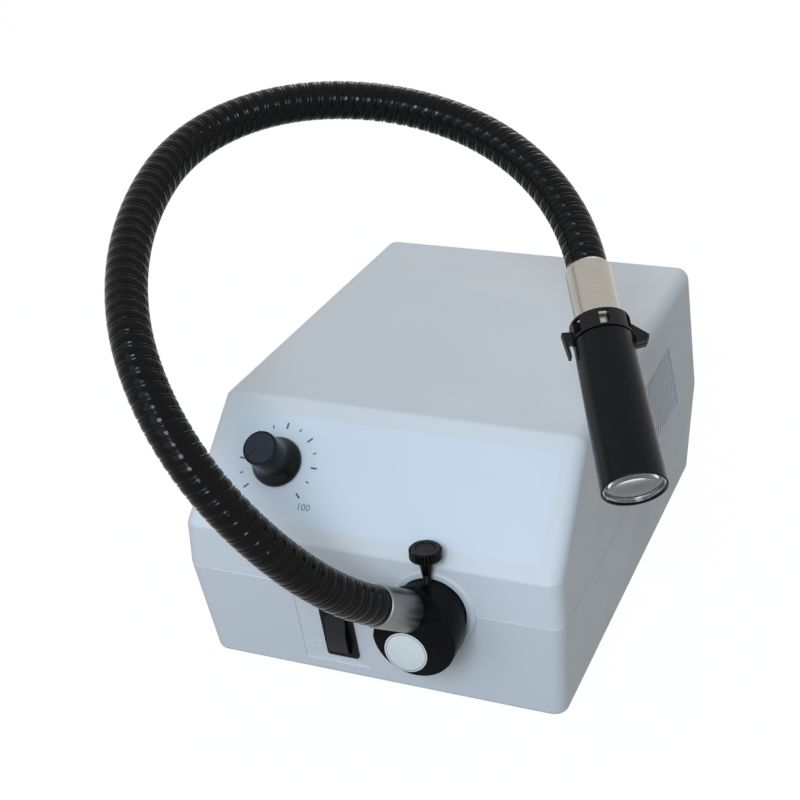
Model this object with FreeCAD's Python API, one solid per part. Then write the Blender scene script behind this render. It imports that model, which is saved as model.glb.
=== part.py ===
import FreeCAD, Part
import math
import os

# Fiber optic illuminator: a lamp case with a dimmer and one self-supporting gooseneck light guide.
# Millimetres and degrees. X runs to the right, Y to the rear, Z up, and the origin is the centre
# of the case's underside.

Vec = FreeCAD.Vector
origin = Vec(0, 0, 0)
x_axis = Vec(1, 0, 0)
y_axis = Vec(0, 1, 0)
z_axis = Vec(0, 0, 1)

# Fits
running_gap = 0.08          # radial, between a shaft and its bore
seat_gap = 0.3              # between pieces that may not touch

# Case: two moulded shells that part at the widest line
case_width = 158.0
case_depth = 223.2
case_height = 107.2
parting_height = 47.0
ridge_height = 67.0         # where the front folds back into the sloped panel
floor_setback = 10.3        # front of the underside behind the ridge
parting_setback = 1.0       # parting line behind the ridge
panel_run = 41.4            # level length of the sloped panel
lid_inset = 3.0
floor_inset = 2.6
rear_lid_inset = 8.0
rear_floor_inset = 2.0
case_wall = 2.6
side_radius = 6.0
ridge_radius = 2.5
seam_edge = 0.35            # small chamfer round each shell at the parting line
lip_height = 3.0
lip_thick = 1.2

# Feet and case screws, set in from the sides and ends of the case
foot_radius = 9.0
foot_height = 3.0
foot_recess = 0.8
foot_chamfer = 1.2
foot_side_margin = 19.0
foot_end_margin = 25.6
post_side_margin = 13.0
post_end_margin = 41.6
boss_radius = 5.5
post_radius = 4.5
screw_radius = 1.6
screw_head_radius = 3.4
screw_head_height = 2.4
screw_head_depth = 6.0      # of the head's seat above the underside
screw_grip = 12.0           # length of thread in the upper shell's post
screw_tip_room = 1.0
screw_slot_width = 0.9
screw_slot_depth = 1.2
screw_slot_corner = 0.2

# Side vents, on both sides of the upper shell
vent_rear_margin = 37.6     # from the rear face
vent_length = 70.0
vent_rise = 4.0             # above the parting line
vent_height = 35.5
vent_slant = 15.0           # how far the rear edge leans forward at the top
vent_recess = 0.8
slot_pitch = 3.6
slot_width = 1.9
slot_margin = 1.6
slot_shortest = 6.0

# Rear grille
grille_left = 2.0
grille_count = 11
grille_pitch = 5.2
grille_slot = 2.6
grille_rise = 9.0           # above the parting line
grille_height = 38.0

# Sloped panel: printed film, dial and knob
film_half_width = 69.0
film_low = 6.4              # distances up the slope from the ridge
film_high = 50.5
film_corner = 4.0
film_thick = 0.4
dial_x = -43.9
dial_up = 30.2
knob_skirt_radius = 10.2
knob_barrel_radius = 7.0
knob_height = 18.5
knob_skirt_height = 3.0
knob_skirt_wall = 1.2
knob_skirt_round = 0.8
knob_shoulder = 1.4         # of the dome from the skirt in to the barrel's root
knob_root_height = 3.4      # of that dome above the skirt
knob_root_flare = 0.5
knob_draft_height = 3.2     # over which the root's flare runs out
knob_edge = 0.35
knob_lift = 0.8             # gap between skirt and panel
knob_cap_thick = 0.8
knob_cap_rim = 0.9
knob_line_width = 0.7
knob_line_depth = 0.25
knob_line_angle = 135.0
shaft_radius = 3.0
shaft_reach = 13.5          # shaft end above the panel
bush_radius = 3.5
bush_reach = 4.2
nut_flats = 10.0
nut_thick = 2.0
pot_radius = 8.5
pot_depth = 9.0
driver_width = 34.0
driver_length = 28.0
board_thick = 1.6

# Rocker switch on the lower front face
switch_x = -15.15
switch_up = 24.8            # distances up the lower face from the underside
bezel_width = 13.7
bezel_length = 26.6
bezel_proud = 0.8
bezel_corner = 1.2
switch_body_width = 12.0
switch_body_length = 24.6
switch_body_depth = 14.0
switch_field_left = -32.6
switch_field_right = -4.5
switch_field_low = 6.4
switch_field_high = 43.6
switch_field_recess = 0.6
rocker_width = 8.4
rocker_reach = 10.4         # radius of the rocker's ends about its pin
rocker_peak = 6.7           # crown above the pin
rocker_keel = 3.0
rocker_tilt = 8.5
rocker_pin_depth = 3.0
rocker_pin_radius = 1.2
rocker_pin_length = 1.1
terminal_width = 4.8
terminal_thick = 0.8
terminal_length = 7.0
terminal_pitch = 7.0

# Light outlet on the front: everything is measured forward of the ridge along the nose axis
nose_x = 28.0
nose_height = 47.5
nose_ring_radius = 17.3
nose_ring_front_radius = 16.1
nose_ring_front = 0.5
nose_ring_flare = 1.5
nose_spigot_radius = 15.0
nose_spigot_back = -9.0
nosepiece_radius = 13.5
nosepiece_front = 7.6
nosepiece_back = -26.0
nosepiece_flange_radius = 19.0
nosepiece_flange_thick = 3.0
nosepiece_stop = 4.0        # length of the shoulder that stops the guide
nosepiece_stop_radius = 7.6
nosepiece_edge = 0.8
thumb_forward = 3.9
thumb_shank_radius = 1.6
thumb_collar_radius = 2.7
thumb_head_radius = 6.2
thumb_collar_up = 18.3      # heights above the nose axis
thumb_head_up = 24.0
thumb_rim_up = 25.8
thumb_top_up = 29.7
thumb_head_crown = 0.6
thumb_collar_foot = 0.25    # step from the shank to the collar's foot
knurl_count = 28
knurl_depth = 0.45

# Lamp engine behind the outlet
barrel_radius = 17.0
barrel_wall = 2.6
barrel_length = 30.0
condenser_back = 12.0       # condenser seat behind the barrel's front
condenser_thick = 8.0
condenser_bulge = 3.0
barrel_step = 1.2
led_board_size = 40.0
emitter_radius = 6.0
emitter_base = 1.4
emitter_dome = 3.6
sink_size = 60.0
sink_base = 6.0
sink_depth = 40.0
fin_count = 11
fin_thick = 1.6
sink_rib_spread = 44.0
sink_rib_thick = 4.0
sink_boss_wall = 1.6
led_board_corner = 2.0
fan_size = 60.0
fan_depth = 15.0
fan_duct_radius = 28.4
fan_hub_radius = 12.0
fan_blade_radius = 27.6
fan_blade_count = 7
fan_blade_thick = 1.2
fan_blade_pitch = 38.0
fan_blade_fill = 0.9        # share of the rotor's depth that the blades sweep
fan_back_plate = 2.0
fan_strut = 3.0
fan_shaft_radius = 1.5
fan_hole_spread = 50.0
fan_screw_radius = 1.7
fan_screw_grip = 12.0
fan_screw_head = 2.0
fan_corner = 4.0

# Power board, set in from the left side and the rear of the case
board_side_margin = 20.0
board_end_margin = 33.6
board_width = 51.0
board_length = 103.0
board_height = 12.0
standoff_radius = 3.2
standoff_inset = 5.0
board_screw_radius = 1.25
board_screw_head = 2.6
board_screw_head_height = 1.8
transformer_inset = 24.0    # from the board's left edge
transformer_setback = 35.0  # from the board's front edge
core_width = 34.0
core_depth = 16.0
core_height = 30.0
core_leg = 5.0
winding_radius = 11.0
bobbin_radius = 5.0
capacitor_radius = 8.0
capacitor_height = 26.0
capacitor_round = 1.2
capacitor_inset = 22.0      # from the board's rear edge
capacitor_spread = 22.0

# Mains inlet with fuse drawer, on the rear face
inlet_side_margin = 39.0    # from the left side of the case
inlet_z = 23.5
inlet_flange_width = 50.0
inlet_flange_height = 30.0
inlet_flange_proud = 2.4
inlet_flange_corner = 5.0
inlet_body_width = 28.0
inlet_body_height = 27.0
inlet_body_depth = 26.0
inlet_body_corner = 1.5
socket_width = 24.4
socket_height = 15.0
socket_chamfer = 4.0
socket_depth = 16.0
socket_up = 4.5             # socket centre above the inlet's centre
inlet_pin_width = 4.0
inlet_pin_thick = 2.0
inlet_pin_length = 9.5
inlet_pin_spread = 7.0
inlet_earth_up = 4.0
inlet_tail = 8.0
drawer_width = 22.0
drawer_height = 6.8
drawer_depth = 24.0
drawer_down = 8.6           # drawer centre below the inlet's centre
drawer_lip = 1.2
drawer_lip_thick = 1.2
drawer_lip_corner = 0.8
drawer_stand = 0.1          # of the lip off the inlet's face
drawer_wall = 0.7
fuse_radius = 2.5
fuse_length = 18.0
inlet_screw_spread = 40.0
inlet_screw_radius = 1.5
inlet_screw_head = 3.0
inlet_screw_head_height = 1.8
inlet_screw_slot = 0.8
inlet_screw_slot_depth = 0.9

# Wiring between the boards, the inlet, the switch and the fan
wire_radius = 0.8
mains_wire_radius = 0.9
wire_turn = 0.45            # share of the shorter run that a turn takes up
wire_spacing = 5.0
wire_lead = 16.0            # straight stretch where a wire leaves a terminal
mains_wire_run = 11.0
led_wire_inset = 3.5
led_wire_lead = 10.0
fan_wire_back = 12.0        # behind the fan's front
dimmer_wire_down = 8.0      # below the dial's centre
switch_wire_landing = 10.0  # behind the power board's front edge
led_wire_landing = 11.0
dimmer_wire_landing = 7.0

# Light guide: sleeve, plug and base ferrule
sleeve_radius = 10.0
sleeve_bore = 6.0
sleeve_chamfer = 0.6
sleeve_end_gap = 0.3
plug_radius = 16.5
plug_back = 7.9             # forward of the ridge
plug_front = 20.1
plug_edge = 0.8
plug_spigot_radius = 6.0
plug_spigot_length = 4.0
label_radius = 8.5
label_x = -3.3              # label centre from the nose axis
label_z = -6.9
label_thick = 0.3
label_recess = 0.15
bundle_length = 14.0
ferrule_radius = 8.0
ferrule_socket = 13.0       # ferrule's foot along the neck's first axis, from the elbow point
plug_facet = 15.6
ferrule_round = 1.0

# Gooseneck: equal spans, each one circular arc, which meet at ball-ended bends
neck_radius = 7.53
neck_start = 35.1           # from the elbow point
neck_lean_angle = 38.6      # first axis away from straight ahead
neck_roll_angle = 24.1      # and turned to the left of straight up
span_length = 75.53
span_bends = [45.8, 52.7, 33.0, 55.1, 59.3, 41.2]
span_twists = [48.8, -6.5, -28.6, -13.1, -5.3, 22.0]
ball_gap = 0.3

# Focusing head on the neck's tip, measured along the tip's axis from the neck's end
tip_radius = 8.35
tip_length = 48.0
tip_round = 2.2
head_back = 24.6
collet_radius = 9.6
collet_end = 33.0
collet_slot = 4.2
collet_slot_turn = 30.0     # of the first slot, and three cross slots make six fingers
collet_slot_step = 60.0
head_end = 92.2
head_back_radius = 10.65
head_front_radius = 11.5
head_edge = 0.2
head_rim = 0.75             # wall left round the front lens
lens_radius = 10.2
lens_seat = 56.0
lens_edge = 4.0
lens_bulge = 1.6
front_lens_edge = 3.2
front_lens_bulge = 1.2
front_lens_sink = 0.4       # of its crown below the rim
front_lens_play = 0.05
lens_ring_wall = 0.8
front_ring_wall = 0.5
front_ring_length = 0.8
clamp_back = 25.2
clamp_front = 32.4
clamp_wall = 1.3
clamp_window = 3.8          # width of the windows over the collet's slots
clamp_window_rim = 0.8
clamp_jaw_reach = 16.4
clamp_jaw_back = 27.6
clamp_jaw_point = 32.6
clamp_jaw_front = 35.6
clamp_jaw_thick = 2.0
clamp_split = 0.5
clamp_tooth = 1.1
clamp_tooth_depth = 0.7
clamp_tab_reach = 14.3
clamp_tab_foot = 28.2
clamp_tab_end = 38.4
clamp_tab_taper = 1.2
clamp_tab_plate = 0.9
clamp_tab_width = 3.0
clamp_seat = 0.4            # how far the jaws and the tab run into the band

front = -case_depth / 2
rear = case_depth / 2
cutter = 2 * case_depth     # longer than anything it cuts
foot_x = case_width / 2 - foot_side_margin
foot_y = rear - foot_end_margin
post_x = case_width / 2 - post_side_margin
post_y = rear - post_end_margin
board_left = board_side_margin - case_width / 2
board_right = board_left + board_width
board_rear = rear - board_end_margin
board_front = board_rear - board_length
board_top = board_height + board_thick
inlet_x = inlet_side_margin - case_width / 2


def box(low, high):
    return Part.makeBox(high[0] - low[0], high[1] - low[1], high[2] - low[2], Vec(*low))


def rod(radius, start, end, at=origin, along=z_axis):
    return Part.makeCylinder(radius, end - start, at + along * start, along)


def tube(outer, inner, start, end, at=origin, along=z_axis):
    return rod(outer, start, end, at, along).cut(rod(inner, start, end, at, along))


def turned(profile):
    # a profile of (radius, height) points turned about Z
    points = [Vec(radius, 0, height) for radius, height in profile]
    return Part.Face(Part.makePolygon(points + points[:1])).revolve(origin, z_axis, 360)


def prism(points, along):
    return Part.Face(Part.makePolygon(points + points[:1])).extrude(along)


def plate(width, length, low, high, corner):
    # a rounded rectangle centred on Z, from one height to another
    block = box((-width / 2, -length / 2, low), (width / 2, length / 2, high))
    uprights = [edge for edge in block.Edges if abs(edge.tangentAt(edge.FirstParameter).z) > 0.5]
    return block.makeFillet(corner, uprights)


def placed(shape, frame):
    moved = shape.copy()
    moved.Placement = frame.multiply(moved.Placement)
    return moved


def joined(shapes):
    whole = shapes[0]
    for shape in shapes[1:]:
        whole = whole.fuse(shape)
    return whole.removeSplitter()


def cut_all(shape, tools):
    for tool in tools:
        shape = shape.cut(tool)
    return shape


def save(node, shape):
    shape.exportStep("parts/" + node + ".step")


# Frames of the places where pieces sit
panel_rise = case_height - ridge_height
panel_slope = math.degrees(math.atan2(panel_rise, panel_run))
facet_tilt = math.degrees(math.atan2(floor_setback - parting_setback, parting_height))
side_tilt = math.atan2(lid_inset, case_height - parting_height)
panel_frame = FreeCAD.Placement(Vec(0, front, ridge_height), FreeCAD.Rotation(x_axis, panel_slope))
facet_frame = FreeCAD.Placement(Vec(0, front + floor_setback, 0), FreeCAD.Rotation(x_axis, 90 + facet_tilt))
nose_frame = FreeCAD.Placement(Vec(nose_x, front, nose_height), FreeCAD.Rotation(x_axis, 90))
back_turn = FreeCAD.Rotation(z_axis, 180).multiply(FreeCAD.Rotation(x_axis, 90))
inlet_frame = FreeCAD.Placement(Vec(inlet_x, rear, inlet_z), back_turn)
side_up = Vec(-math.sin(side_tilt), 0, math.cos(side_tilt))
side_out = Vec(math.cos(side_tilt), 0, math.sin(side_tilt))
side_frame = FreeCAD.Placement(
    Vec(case_width / 2, 0, parting_height), FreeCAD.Rotation(y_axis, side_up, side_out, "ZXY"))
dial_frame = panel_frame.multiply(FreeCAD.Placement(Vec(dial_x, dial_up, 0), FreeCAD.Rotation()))
switch_frame = facet_frame.multiply(FreeCAD.Placement(Vec(switch_x, switch_up, 0), FreeCAD.Rotation()))


def inset_face(points, inset):
    outline = Part.makePolygon(points + points[:1])
    if inset > 0:
        outline = outline.makeOffset2D(-inset)
    return Part.Face(outline)


def beyond(corner, other):
    # as far again past a corner, along the line from the other one
    return corner * 2 - other


def case_block(inset, upper):
    # side profile and end profile of one half of the case, each run on past the parting line
    # so that an inset leaves that line level, and each run through the other
    half = case_width / 2
    parting_front = Vec(-case_width, front + parting_setback, parting_height)
    parting_rear = Vec(-case_width, rear, parting_height)
    parting_side = Vec(half, -case_depth, parting_height)
    if upper:
        ridge = Vec(-case_width, front, ridge_height)
        lid_front = Vec(-case_width, front + panel_run, case_height)
        lid_rear = Vec(-case_width, rear - rear_lid_inset, case_height)
        side = [beyond(parting_front, ridge), ridge, lid_front, lid_rear, beyond(parting_rear, lid_rear)]
        far_side = Vec(half - lid_inset, -case_depth, case_height)
    else:
        floor_front = Vec(-case_width, front + floor_setback, 0)
        floor_rear = Vec(-case_width, rear - rear_floor_inset, 0)
        side = [beyond(parting_front, floor_front), floor_front, floor_rear, beyond(parting_rear, floor_rear)]
        far_side = Vec(half - floor_inset, -case_depth, 0)
    right = [beyond(parting_side, far_side), far_side]
    end = right + [Vec(-point.x, point.y, point.z) for point in reversed(right)]
    long_way = inset_face(side, inset).extrude(x_axis * 2 * case_width)
    return long_way.common(inset_face(end, inset).extrude(y_axis * 2 * case_depth))


def case_half(inset, upper, soft, crisp):
    # one shell's outline as a solid, with its corners rounded
    low = parting_height if upper else -cutter
    high = cutter if upper else parting_height
    half = case_block(inset, upper).common(box((-cutter, -cutter, low), (cutter, cutter, high)))
    floor = inset

    def level(edge, height):
        return all(abs(vertex.Z - height) < 0.01 for vertex in edge.Vertexes)

    def crosswise(edge):
        return abs(edge.tangentAt(edge.FirstParameter).x) > 0.99

    corners = [edge for edge in half.Edges
               if not level(edge, parting_height) and not level(edge, floor) and not crosswise(edge)]
    half = half.makeFillet(soft, corners)
    if crisp > 0:
        folds = [edge for edge in half.Edges if not level(edge, parting_height)
                 and (level(edge, floor) or (upper and crosswise(edge)))]
        half = half.makeFillet(crisp, folds)
        half = half.makeChamfer(seam_edge, [edge for edge in half.Edges if level(edge, parting_height)])
    return half


def outer_half(upper):
    return case_half(0, upper, side_radius, ridge_radius)


def inner_half(upper):
    return case_half(case_wall, upper, side_radius - case_wall, 0)


def corner_places(x, y):
    return [(x, y), (-x, y), (x, -y), (-x, -y)]


def nose_hole():
    return placed(rod(nose_spigot_radius + seat_gap / 2, -cutter / 4, cutter / 4), nose_frame)


def vent_tools():
    # the shallow field and the slots of one side vent, in the side's own frame
    low = vent_rise / math.cos(side_tilt)
    top = (vent_rise + vent_height) / math.cos(side_tilt)
    vent_rear = rear - vent_rear_margin
    vent_front = vent_rear - vent_length
    field = [Vec(vent_front, low, -vent_recess), Vec(vent_rear, low, -vent_recess),
             Vec(vent_rear - vent_slant, top, -vent_recess), Vec(vent_front, top, -vent_recess)]
    tools = [prism(field, z_axis * 2 * case_wall)]
    count = int((vent_rear - vent_front - 2 * slot_margin) // slot_pitch)
    for number in range(count):
        near = vent_front + slot_margin + number * slot_pitch
        far = near + slot_width
        lean = max(0.0, (far + slot_margin - vent_rear + vent_slant) / vent_slant)
        slot_top = top - slot_margin - lean * (top - low)
        if slot_top - low > slot_shortest:
            tools.append(box((near, low + slot_margin, -2 * case_wall), (far, slot_top, 2 * case_wall)))
    return [placed(tool, side_frame) for tool in tools]


def grille_tools():
    tools = []
    low = parting_height + grille_rise
    for number in range(grille_count):
        left = grille_left + number * grille_pitch
        tools.append(box((left, rear - rear_lid_inset - 4 * case_wall, low),
                         (left + grille_slot, rear + case_wall, low + grille_height)))
    return tools


def switch_field():
    # the shallow field round the switch
    return placed(box((switch_field_left, switch_field_low, -switch_field_recess),
                      (switch_field_right, switch_field_high, case_wall)), facet_frame)


def make_lower_shell():
    shell = outer_half(False).cut(inner_half(False))
    lip_low = case_half(case_wall, False, side_radius - case_wall, 0)
    lip_low = lip_low.common(box((-cutter, -cutter, parting_height - lip_height), (cutter, cutter, cutter)))
    lip_high = case_half(case_wall + seat_gap, True, side_radius - case_wall, 0)
    lip_high = lip_high.common(box((-cutter, -cutter, 0), (cutter, cutter, parting_height + lip_height)))
    core_inset = case_wall + seat_gap + lip_thick
    core = case_half(core_inset, False, side_radius - case_wall, 0)
    core = core.fuse(case_half(core_inset, True, side_radius - case_wall, 0))
    shell = joined([shell, lip_low.cut(core), lip_high.cut(core)])
    for x, y in corner_places(post_x, post_y):
        shell = shell.fuse(rod(boss_radius, case_wall / 2, parting_height, Vec(x, y, 0)))
    for side in (-1, 1):
        middle = nose_x + side * sink_rib_spread / 2
        shell = shell.fuse(box((middle - sink_rib_thick / 2, sink_front, case_wall / 2),
                               (middle + sink_rib_thick / 2, sink_front + sink_depth, sink_low)))
    for x, y in board_corners:
        shell = shell.fuse(rod(standoff_radius, case_wall / 2, board_height, Vec(x, y, 0)))
    shell = shell.removeSplitter()
    tools = [nose_hole(), switch_field(), placed(
        box((-switch_body_width / 2, -switch_body_length / 2, -cutter / 8),
            (switch_body_width / 2, switch_body_length / 2, case_wall)), switch_frame)]
    inlet_room = plate(inlet_body_width, inlet_body_height, -3 * case_wall, case_wall, inlet_body_corner)
    tools.append(placed(inlet_room, inlet_frame))
    for x in (-inlet_screw_spread / 2, inlet_screw_spread / 2):
        tools.append(placed(rod(inlet_screw_radius, -3 * case_wall, case_wall, Vec(x, 0, 0)), inlet_frame))
    for x, y in corner_places(post_x, post_y):
        tools.append(rod(screw_radius + seat_gap, 0, cutter, Vec(x, y, 0)))
        tools.append(rod(screw_head_radius + seat_gap, 0, screw_head_depth, Vec(x, y, 0)))
    for x, y in corner_places(foot_x, foot_y):
        tools.append(rod(foot_radius, 0, foot_recess, Vec(x, y, 0)))
    for x, y in board_corners:
        tools.append(rod(board_screw_radius, case_wall, cutter, Vec(x, y, 0)))
    return cut_all(shell, tools)


def make_upper_shell():
    outside = outer_half(True)
    shell = outside.cut(inner_half(True))
    for x, y in corner_places(post_x, post_y):
        shell = shell.fuse(rod(post_radius, parting_height, cutter, Vec(x, y, 0)).common(outside))
    shell = shell.removeSplitter()
    film = plate(2 * film_half_width, film_high - film_low, -film_thick, case_wall, film_corner)
    film_frame = panel_frame.multiply(
        FreeCAD.Placement(Vec(0, (film_low + film_high) / 2, 0), FreeCAD.Rotation()))
    tools = [nose_hole(), placed(film, film_frame)]
    tools.append(placed(rod(bush_radius + seat_gap, -3 * case_wall, case_wall), dial_frame))
    for x, y in corner_places(post_x, post_y):
        tools.append(rod(screw_radius, 0, parting_height + screw_grip + screw_tip_room, Vec(x, y, 0)))
    for tool in vent_tools():
        tools.append(tool)
        tools.append(tool.mirror(origin, x_axis))
    return cut_all(shell, tools + grille_tools())


def make_feet():
    foot = turned([(0, -foot_height), (foot_radius - foot_chamfer, -foot_height),
                   (foot_radius, foot_chamfer - foot_height), (foot_radius, foot_recess), (0, foot_recess)])
    return Part.makeCompound([foot.translated(Vec(x, y, 0)) for x, y in corner_places(foot_x, foot_y)])


def make_case_screws():
    reach = parting_height + screw_grip
    low = screw_head_depth - screw_head_height
    head = rod(screw_head_radius, low, screw_head_depth)
    slot = plate(screw_radius * 2, screw_slot_width, low, low + screw_slot_depth, screw_slot_corner)
    screw = joined([head, rod(screw_radius, screw_head_depth, reach)]).cut(slot)
    return Part.makeCompound([screw.translated(Vec(x, y, 0)) for x, y in corner_places(post_x, post_y)])


def make_front_film():
    film = plate(2 * film_half_width, film_high - film_low, -film_thick, 0, film_corner)
    film.translate(Vec(0, (film_low + film_high) / 2, 0))
    film = film.cut(rod(bush_radius + seat_gap, -film_thick, 0, Vec(dial_x, dial_up, 0)))
    return placed(film, panel_frame)


def make_knob():
    base = knob_lift
    skirt = base + knob_skirt_height
    root = skirt + knob_root_height
    top = base + knob_height
    cap_floor = top - knob_cap_thick
    cap_radius = knob_barrel_radius - knob_cap_rim
    inside = knob_skirt_radius - knob_skirt_wall
    body = turned([
        (shaft_radius, skirt), (inside, skirt - knob_skirt_wall), (inside, base), (knob_skirt_radius, base),
        (knob_skirt_radius, base + knob_skirt_height / 2), (knob_skirt_radius - knob_skirt_round, skirt),
        (knob_barrel_radius + knob_shoulder, skirt + knob_root_height / 2),
        (knob_barrel_radius + knob_root_flare, root), (knob_barrel_radius, root + knob_draft_height),
        (knob_barrel_radius, top - knob_edge), (knob_barrel_radius - knob_edge, top), (cap_radius, top),
        (cap_radius, cap_floor), (0, cap_floor), (0, shaft_reach), (shaft_radius, shaft_reach)])
    nut_room = rod(nut_flats / 2 / math.cos(math.pi / 6) + seat_gap, 0, bush_reach + seat_gap)
    return placed(body.cut(nut_room), dial_frame)


def make_knob_cap():
    top = knob_lift + knob_height
    cap = rod(knob_barrel_radius - knob_cap_rim, top - knob_cap_thick, top)
    line = box((-knob_line_width / 2, knob_barrel_radius / 3, top - knob_line_depth),
               (knob_line_width / 2, knob_barrel_radius, top))
    line.rotate(origin, z_axis, knob_line_angle)
    return placed(cap.cut(line), dial_frame)


def make_pot():
    inside = -case_wall
    body = rod(pot_radius, inside - pot_depth, inside)
    body = joined([body, rod(bush_radius, inside, bush_reach)])
    body = body.cut(rod(shaft_radius + running_gap, inside - pot_depth / 2, bush_reach))
    return placed(body, dial_frame)


def make_pot_shaft():
    shaft = rod(shaft_radius, -case_wall - pot_depth / 2 + seat_gap, shaft_reach)
    return placed(shaft, dial_frame)


def make_pot_nut():
    corner = nut_flats / 2 / math.cos(math.pi / 6)
    points = [Vec(corner * math.cos(math.radians(60 * k)), corner * math.sin(math.radians(60 * k)), 0)
              for k in range(6)]
    return placed(prism(points, z_axis * nut_thick).cut(rod(bush_radius, 0, nut_thick)), dial_frame)


def make_driver_board():
    low = -case_wall - pot_depth - board_thick
    board = box((-driver_width / 2, -driver_length / 2, low),
                (driver_width / 2, driver_length / 2, low + board_thick))
    return placed(board, dial_frame)


def make_rocker_bezel():
    floor = -switch_field_recess
    flange = plate(bezel_width, bezel_length, floor, bezel_proud, bezel_corner)
    body = box((-switch_body_width / 2, -switch_body_length / 2, -switch_body_depth),
               (switch_body_width / 2, switch_body_length / 2, floor))
    room = rocker_width / 2 + seat_gap
    reach = rocker_reach + seat_gap
    keel = math.hypot(rocker_reach, rocker_keel) * math.sin(math.radians(2 * rocker_tilt)) + rocker_keel
    pocket = box((-room, -reach, -rocker_pin_depth - keel), (room, reach, bezel_proud))
    pins = rod(rocker_pin_radius + running_gap, -rocker_width / 2 - rocker_pin_length - seat_gap,
               rocker_width / 2 + rocker_pin_length + seat_gap, Vec(0, 0, -rocker_pin_depth), x_axis)
    return placed(cut_all(joined([flange, body]), [pocket, pins]), switch_frame)


def make_rocker():
    # drawn level about its pin, then tipped with the upper end pressed in
    fall = rocker_reach * math.tan(math.radians(rocker_tilt))
    half = rocker_width / 2
    outline = [Vec(-half, -rocker_reach, -rocker_keel), Vec(-half, rocker_reach, -rocker_keel),
               Vec(-half, rocker_reach, rocker_peak - fall), Vec(-half, 0, rocker_peak),
               Vec(-half, -rocker_reach, rocker_peak - fall)]
    body = prism(outline, x_axis * rocker_width).common(rod(rocker_reach, -half, half, origin, x_axis))
    pins = rod(rocker_pin_radius, -half - rocker_pin_length, half + rocker_pin_length, origin, x_axis)
    body = joined([body, pins])
    body.rotate(origin, x_axis, -rocker_tilt)
    body.translate(Vec(0, 0, -rocker_pin_depth))
    return placed(body, switch_frame)


def make_switch_terminals():
    blade = box((-terminal_width / 2, -terminal_thick / 2, -switch_body_depth - terminal_length),
                (terminal_width / 2, terminal_thick / 2, -switch_body_depth))
    return placed(Part.makeCompound(
        [blade.translated(Vec(0, k * terminal_pitch, 0)) for k in (-1, 0, 1)]), switch_frame)


def make_nose_bezel():
    bore = nosepiece_radius + seat_gap
    flange = turned([(bore, nose_spigot_back), (nose_ring_radius, nose_spigot_back),
                     (nose_ring_radius, nose_ring_front - nose_ring_flare),
                     (nose_ring_front_radius, nose_ring_front), (bore, nose_ring_front)])
    flange = placed(flange, nose_frame).cut(outer_half(True)).cut(outer_half(False))
    spigot = placed(tube(nose_spigot_radius, bore, nose_spigot_back, nose_ring_front), nose_frame)
    return joined([flange, spigot])


def make_nosepiece():
    flange_front = nose_spigot_back
    flange_back = flange_front - nosepiece_flange_thick
    stop = nosepiece_back + nosepiece_stop
    body = turned([
        (nosepiece_stop_radius, nosepiece_back), (nosepiece_radius, nosepiece_back),
        (nosepiece_radius, flange_back), (nosepiece_flange_radius, flange_back),
        (nosepiece_flange_radius, flange_front), (nosepiece_radius, flange_front),
        (nosepiece_radius, nosepiece_front - nosepiece_edge),
        (nosepiece_radius - nosepiece_edge, nosepiece_front), (sleeve_radius + running_gap, nosepiece_front),
        (sleeve_radius + running_gap, stop), (nosepiece_stop_radius, stop)])
    thread = rod(thumb_shank_radius + running_gap, 0, 2 * nosepiece_radius, Vec(0, 0, thumb_forward), y_axis)
    return placed(body.cut(thread), nose_frame)


def thumb_place():
    return Vec(nose_x, front - thumb_forward, nose_height)


def make_thumb_head():
    head = turned([
        (0, thumb_collar_up), (thumb_shank_radius + thumb_collar_foot, thumb_collar_up),
        (thumb_collar_radius, thumb_head_up), (thumb_head_radius, thumb_rim_up),
        (thumb_head_radius, thumb_top_up - thumb_head_crown),
        (thumb_head_radius - thumb_head_crown, thumb_top_up), (0, thumb_top_up)])
    outside = thumb_head_radius + knurl_depth
    for number in range(knurl_count):
        groove = prism([Vec(thumb_head_radius - knurl_depth, 0, 0), Vec(outside, 2 * knurl_depth, 0),
                        Vec(outside, -2 * knurl_depth, 0)], z_axis * cutter)
        groove.rotate(origin, z_axis, number * 360 / knurl_count)
        head = head.cut(groove)
    head = head.cut(rod(thumb_shank_radius, 0, thumb_rim_up))
    return head.translated(thumb_place())


def make_thumb_shank():
    return rod(thumb_shank_radius, sleeve_radius + seat_gap, thumb_rim_up, thumb_place())


barrel_front = front - nosepiece_back
led_board_front = barrel_front + barrel_length
sink_front = led_board_front + board_thick
sink_low = nose_height - sink_size / 2
fan_front = sink_front + sink_depth
board_corners = [(x, y) for x in (board_left + standoff_inset, board_right - standoff_inset)
                 for y in (board_front + standoff_inset, board_rear - standoff_inset)]
engine_turn = FreeCAD.Rotation(x_axis, -90)


def engine_place(y):
    # local Z runs to the rear from the given place on the nose axis
    return FreeCAD.Placement(Vec(nose_x, y, nose_height), engine_turn)


def make_lens_barrel():
    inner = barrel_radius - barrel_wall
    barrel = turned([
        (inner - barrel_step, 0), (barrel_radius, 0), (barrel_radius, barrel_length), (inner, barrel_length),
        (inner, condenser_back), (inner - barrel_step, condenser_back)])
    return placed(barrel, engine_place(barrel_front))


def dome(clear, bulge, height):
    # a low spherical dome on Z that stands on the given height
    sphere_radius = (clear * clear + bulge * bulge) / (2 * bulge)
    ball = Part.makeSphere(sphere_radius, Vec(0, 0, height + bulge - sphere_radius))
    return ball.common(rod(clear, height, height + bulge))


def make_lens(radius, edge, bulge, clear, back_clear):
    # a biconvex lens on Z with a flat seating rim outside its clear radii
    back = dome(back_clear, bulge, edge).mirror(Vec(0, 0, edge / 2), z_axis)
    return joined([rod(radius, 0, edge), dome(clear, bulge, edge), back])


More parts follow.
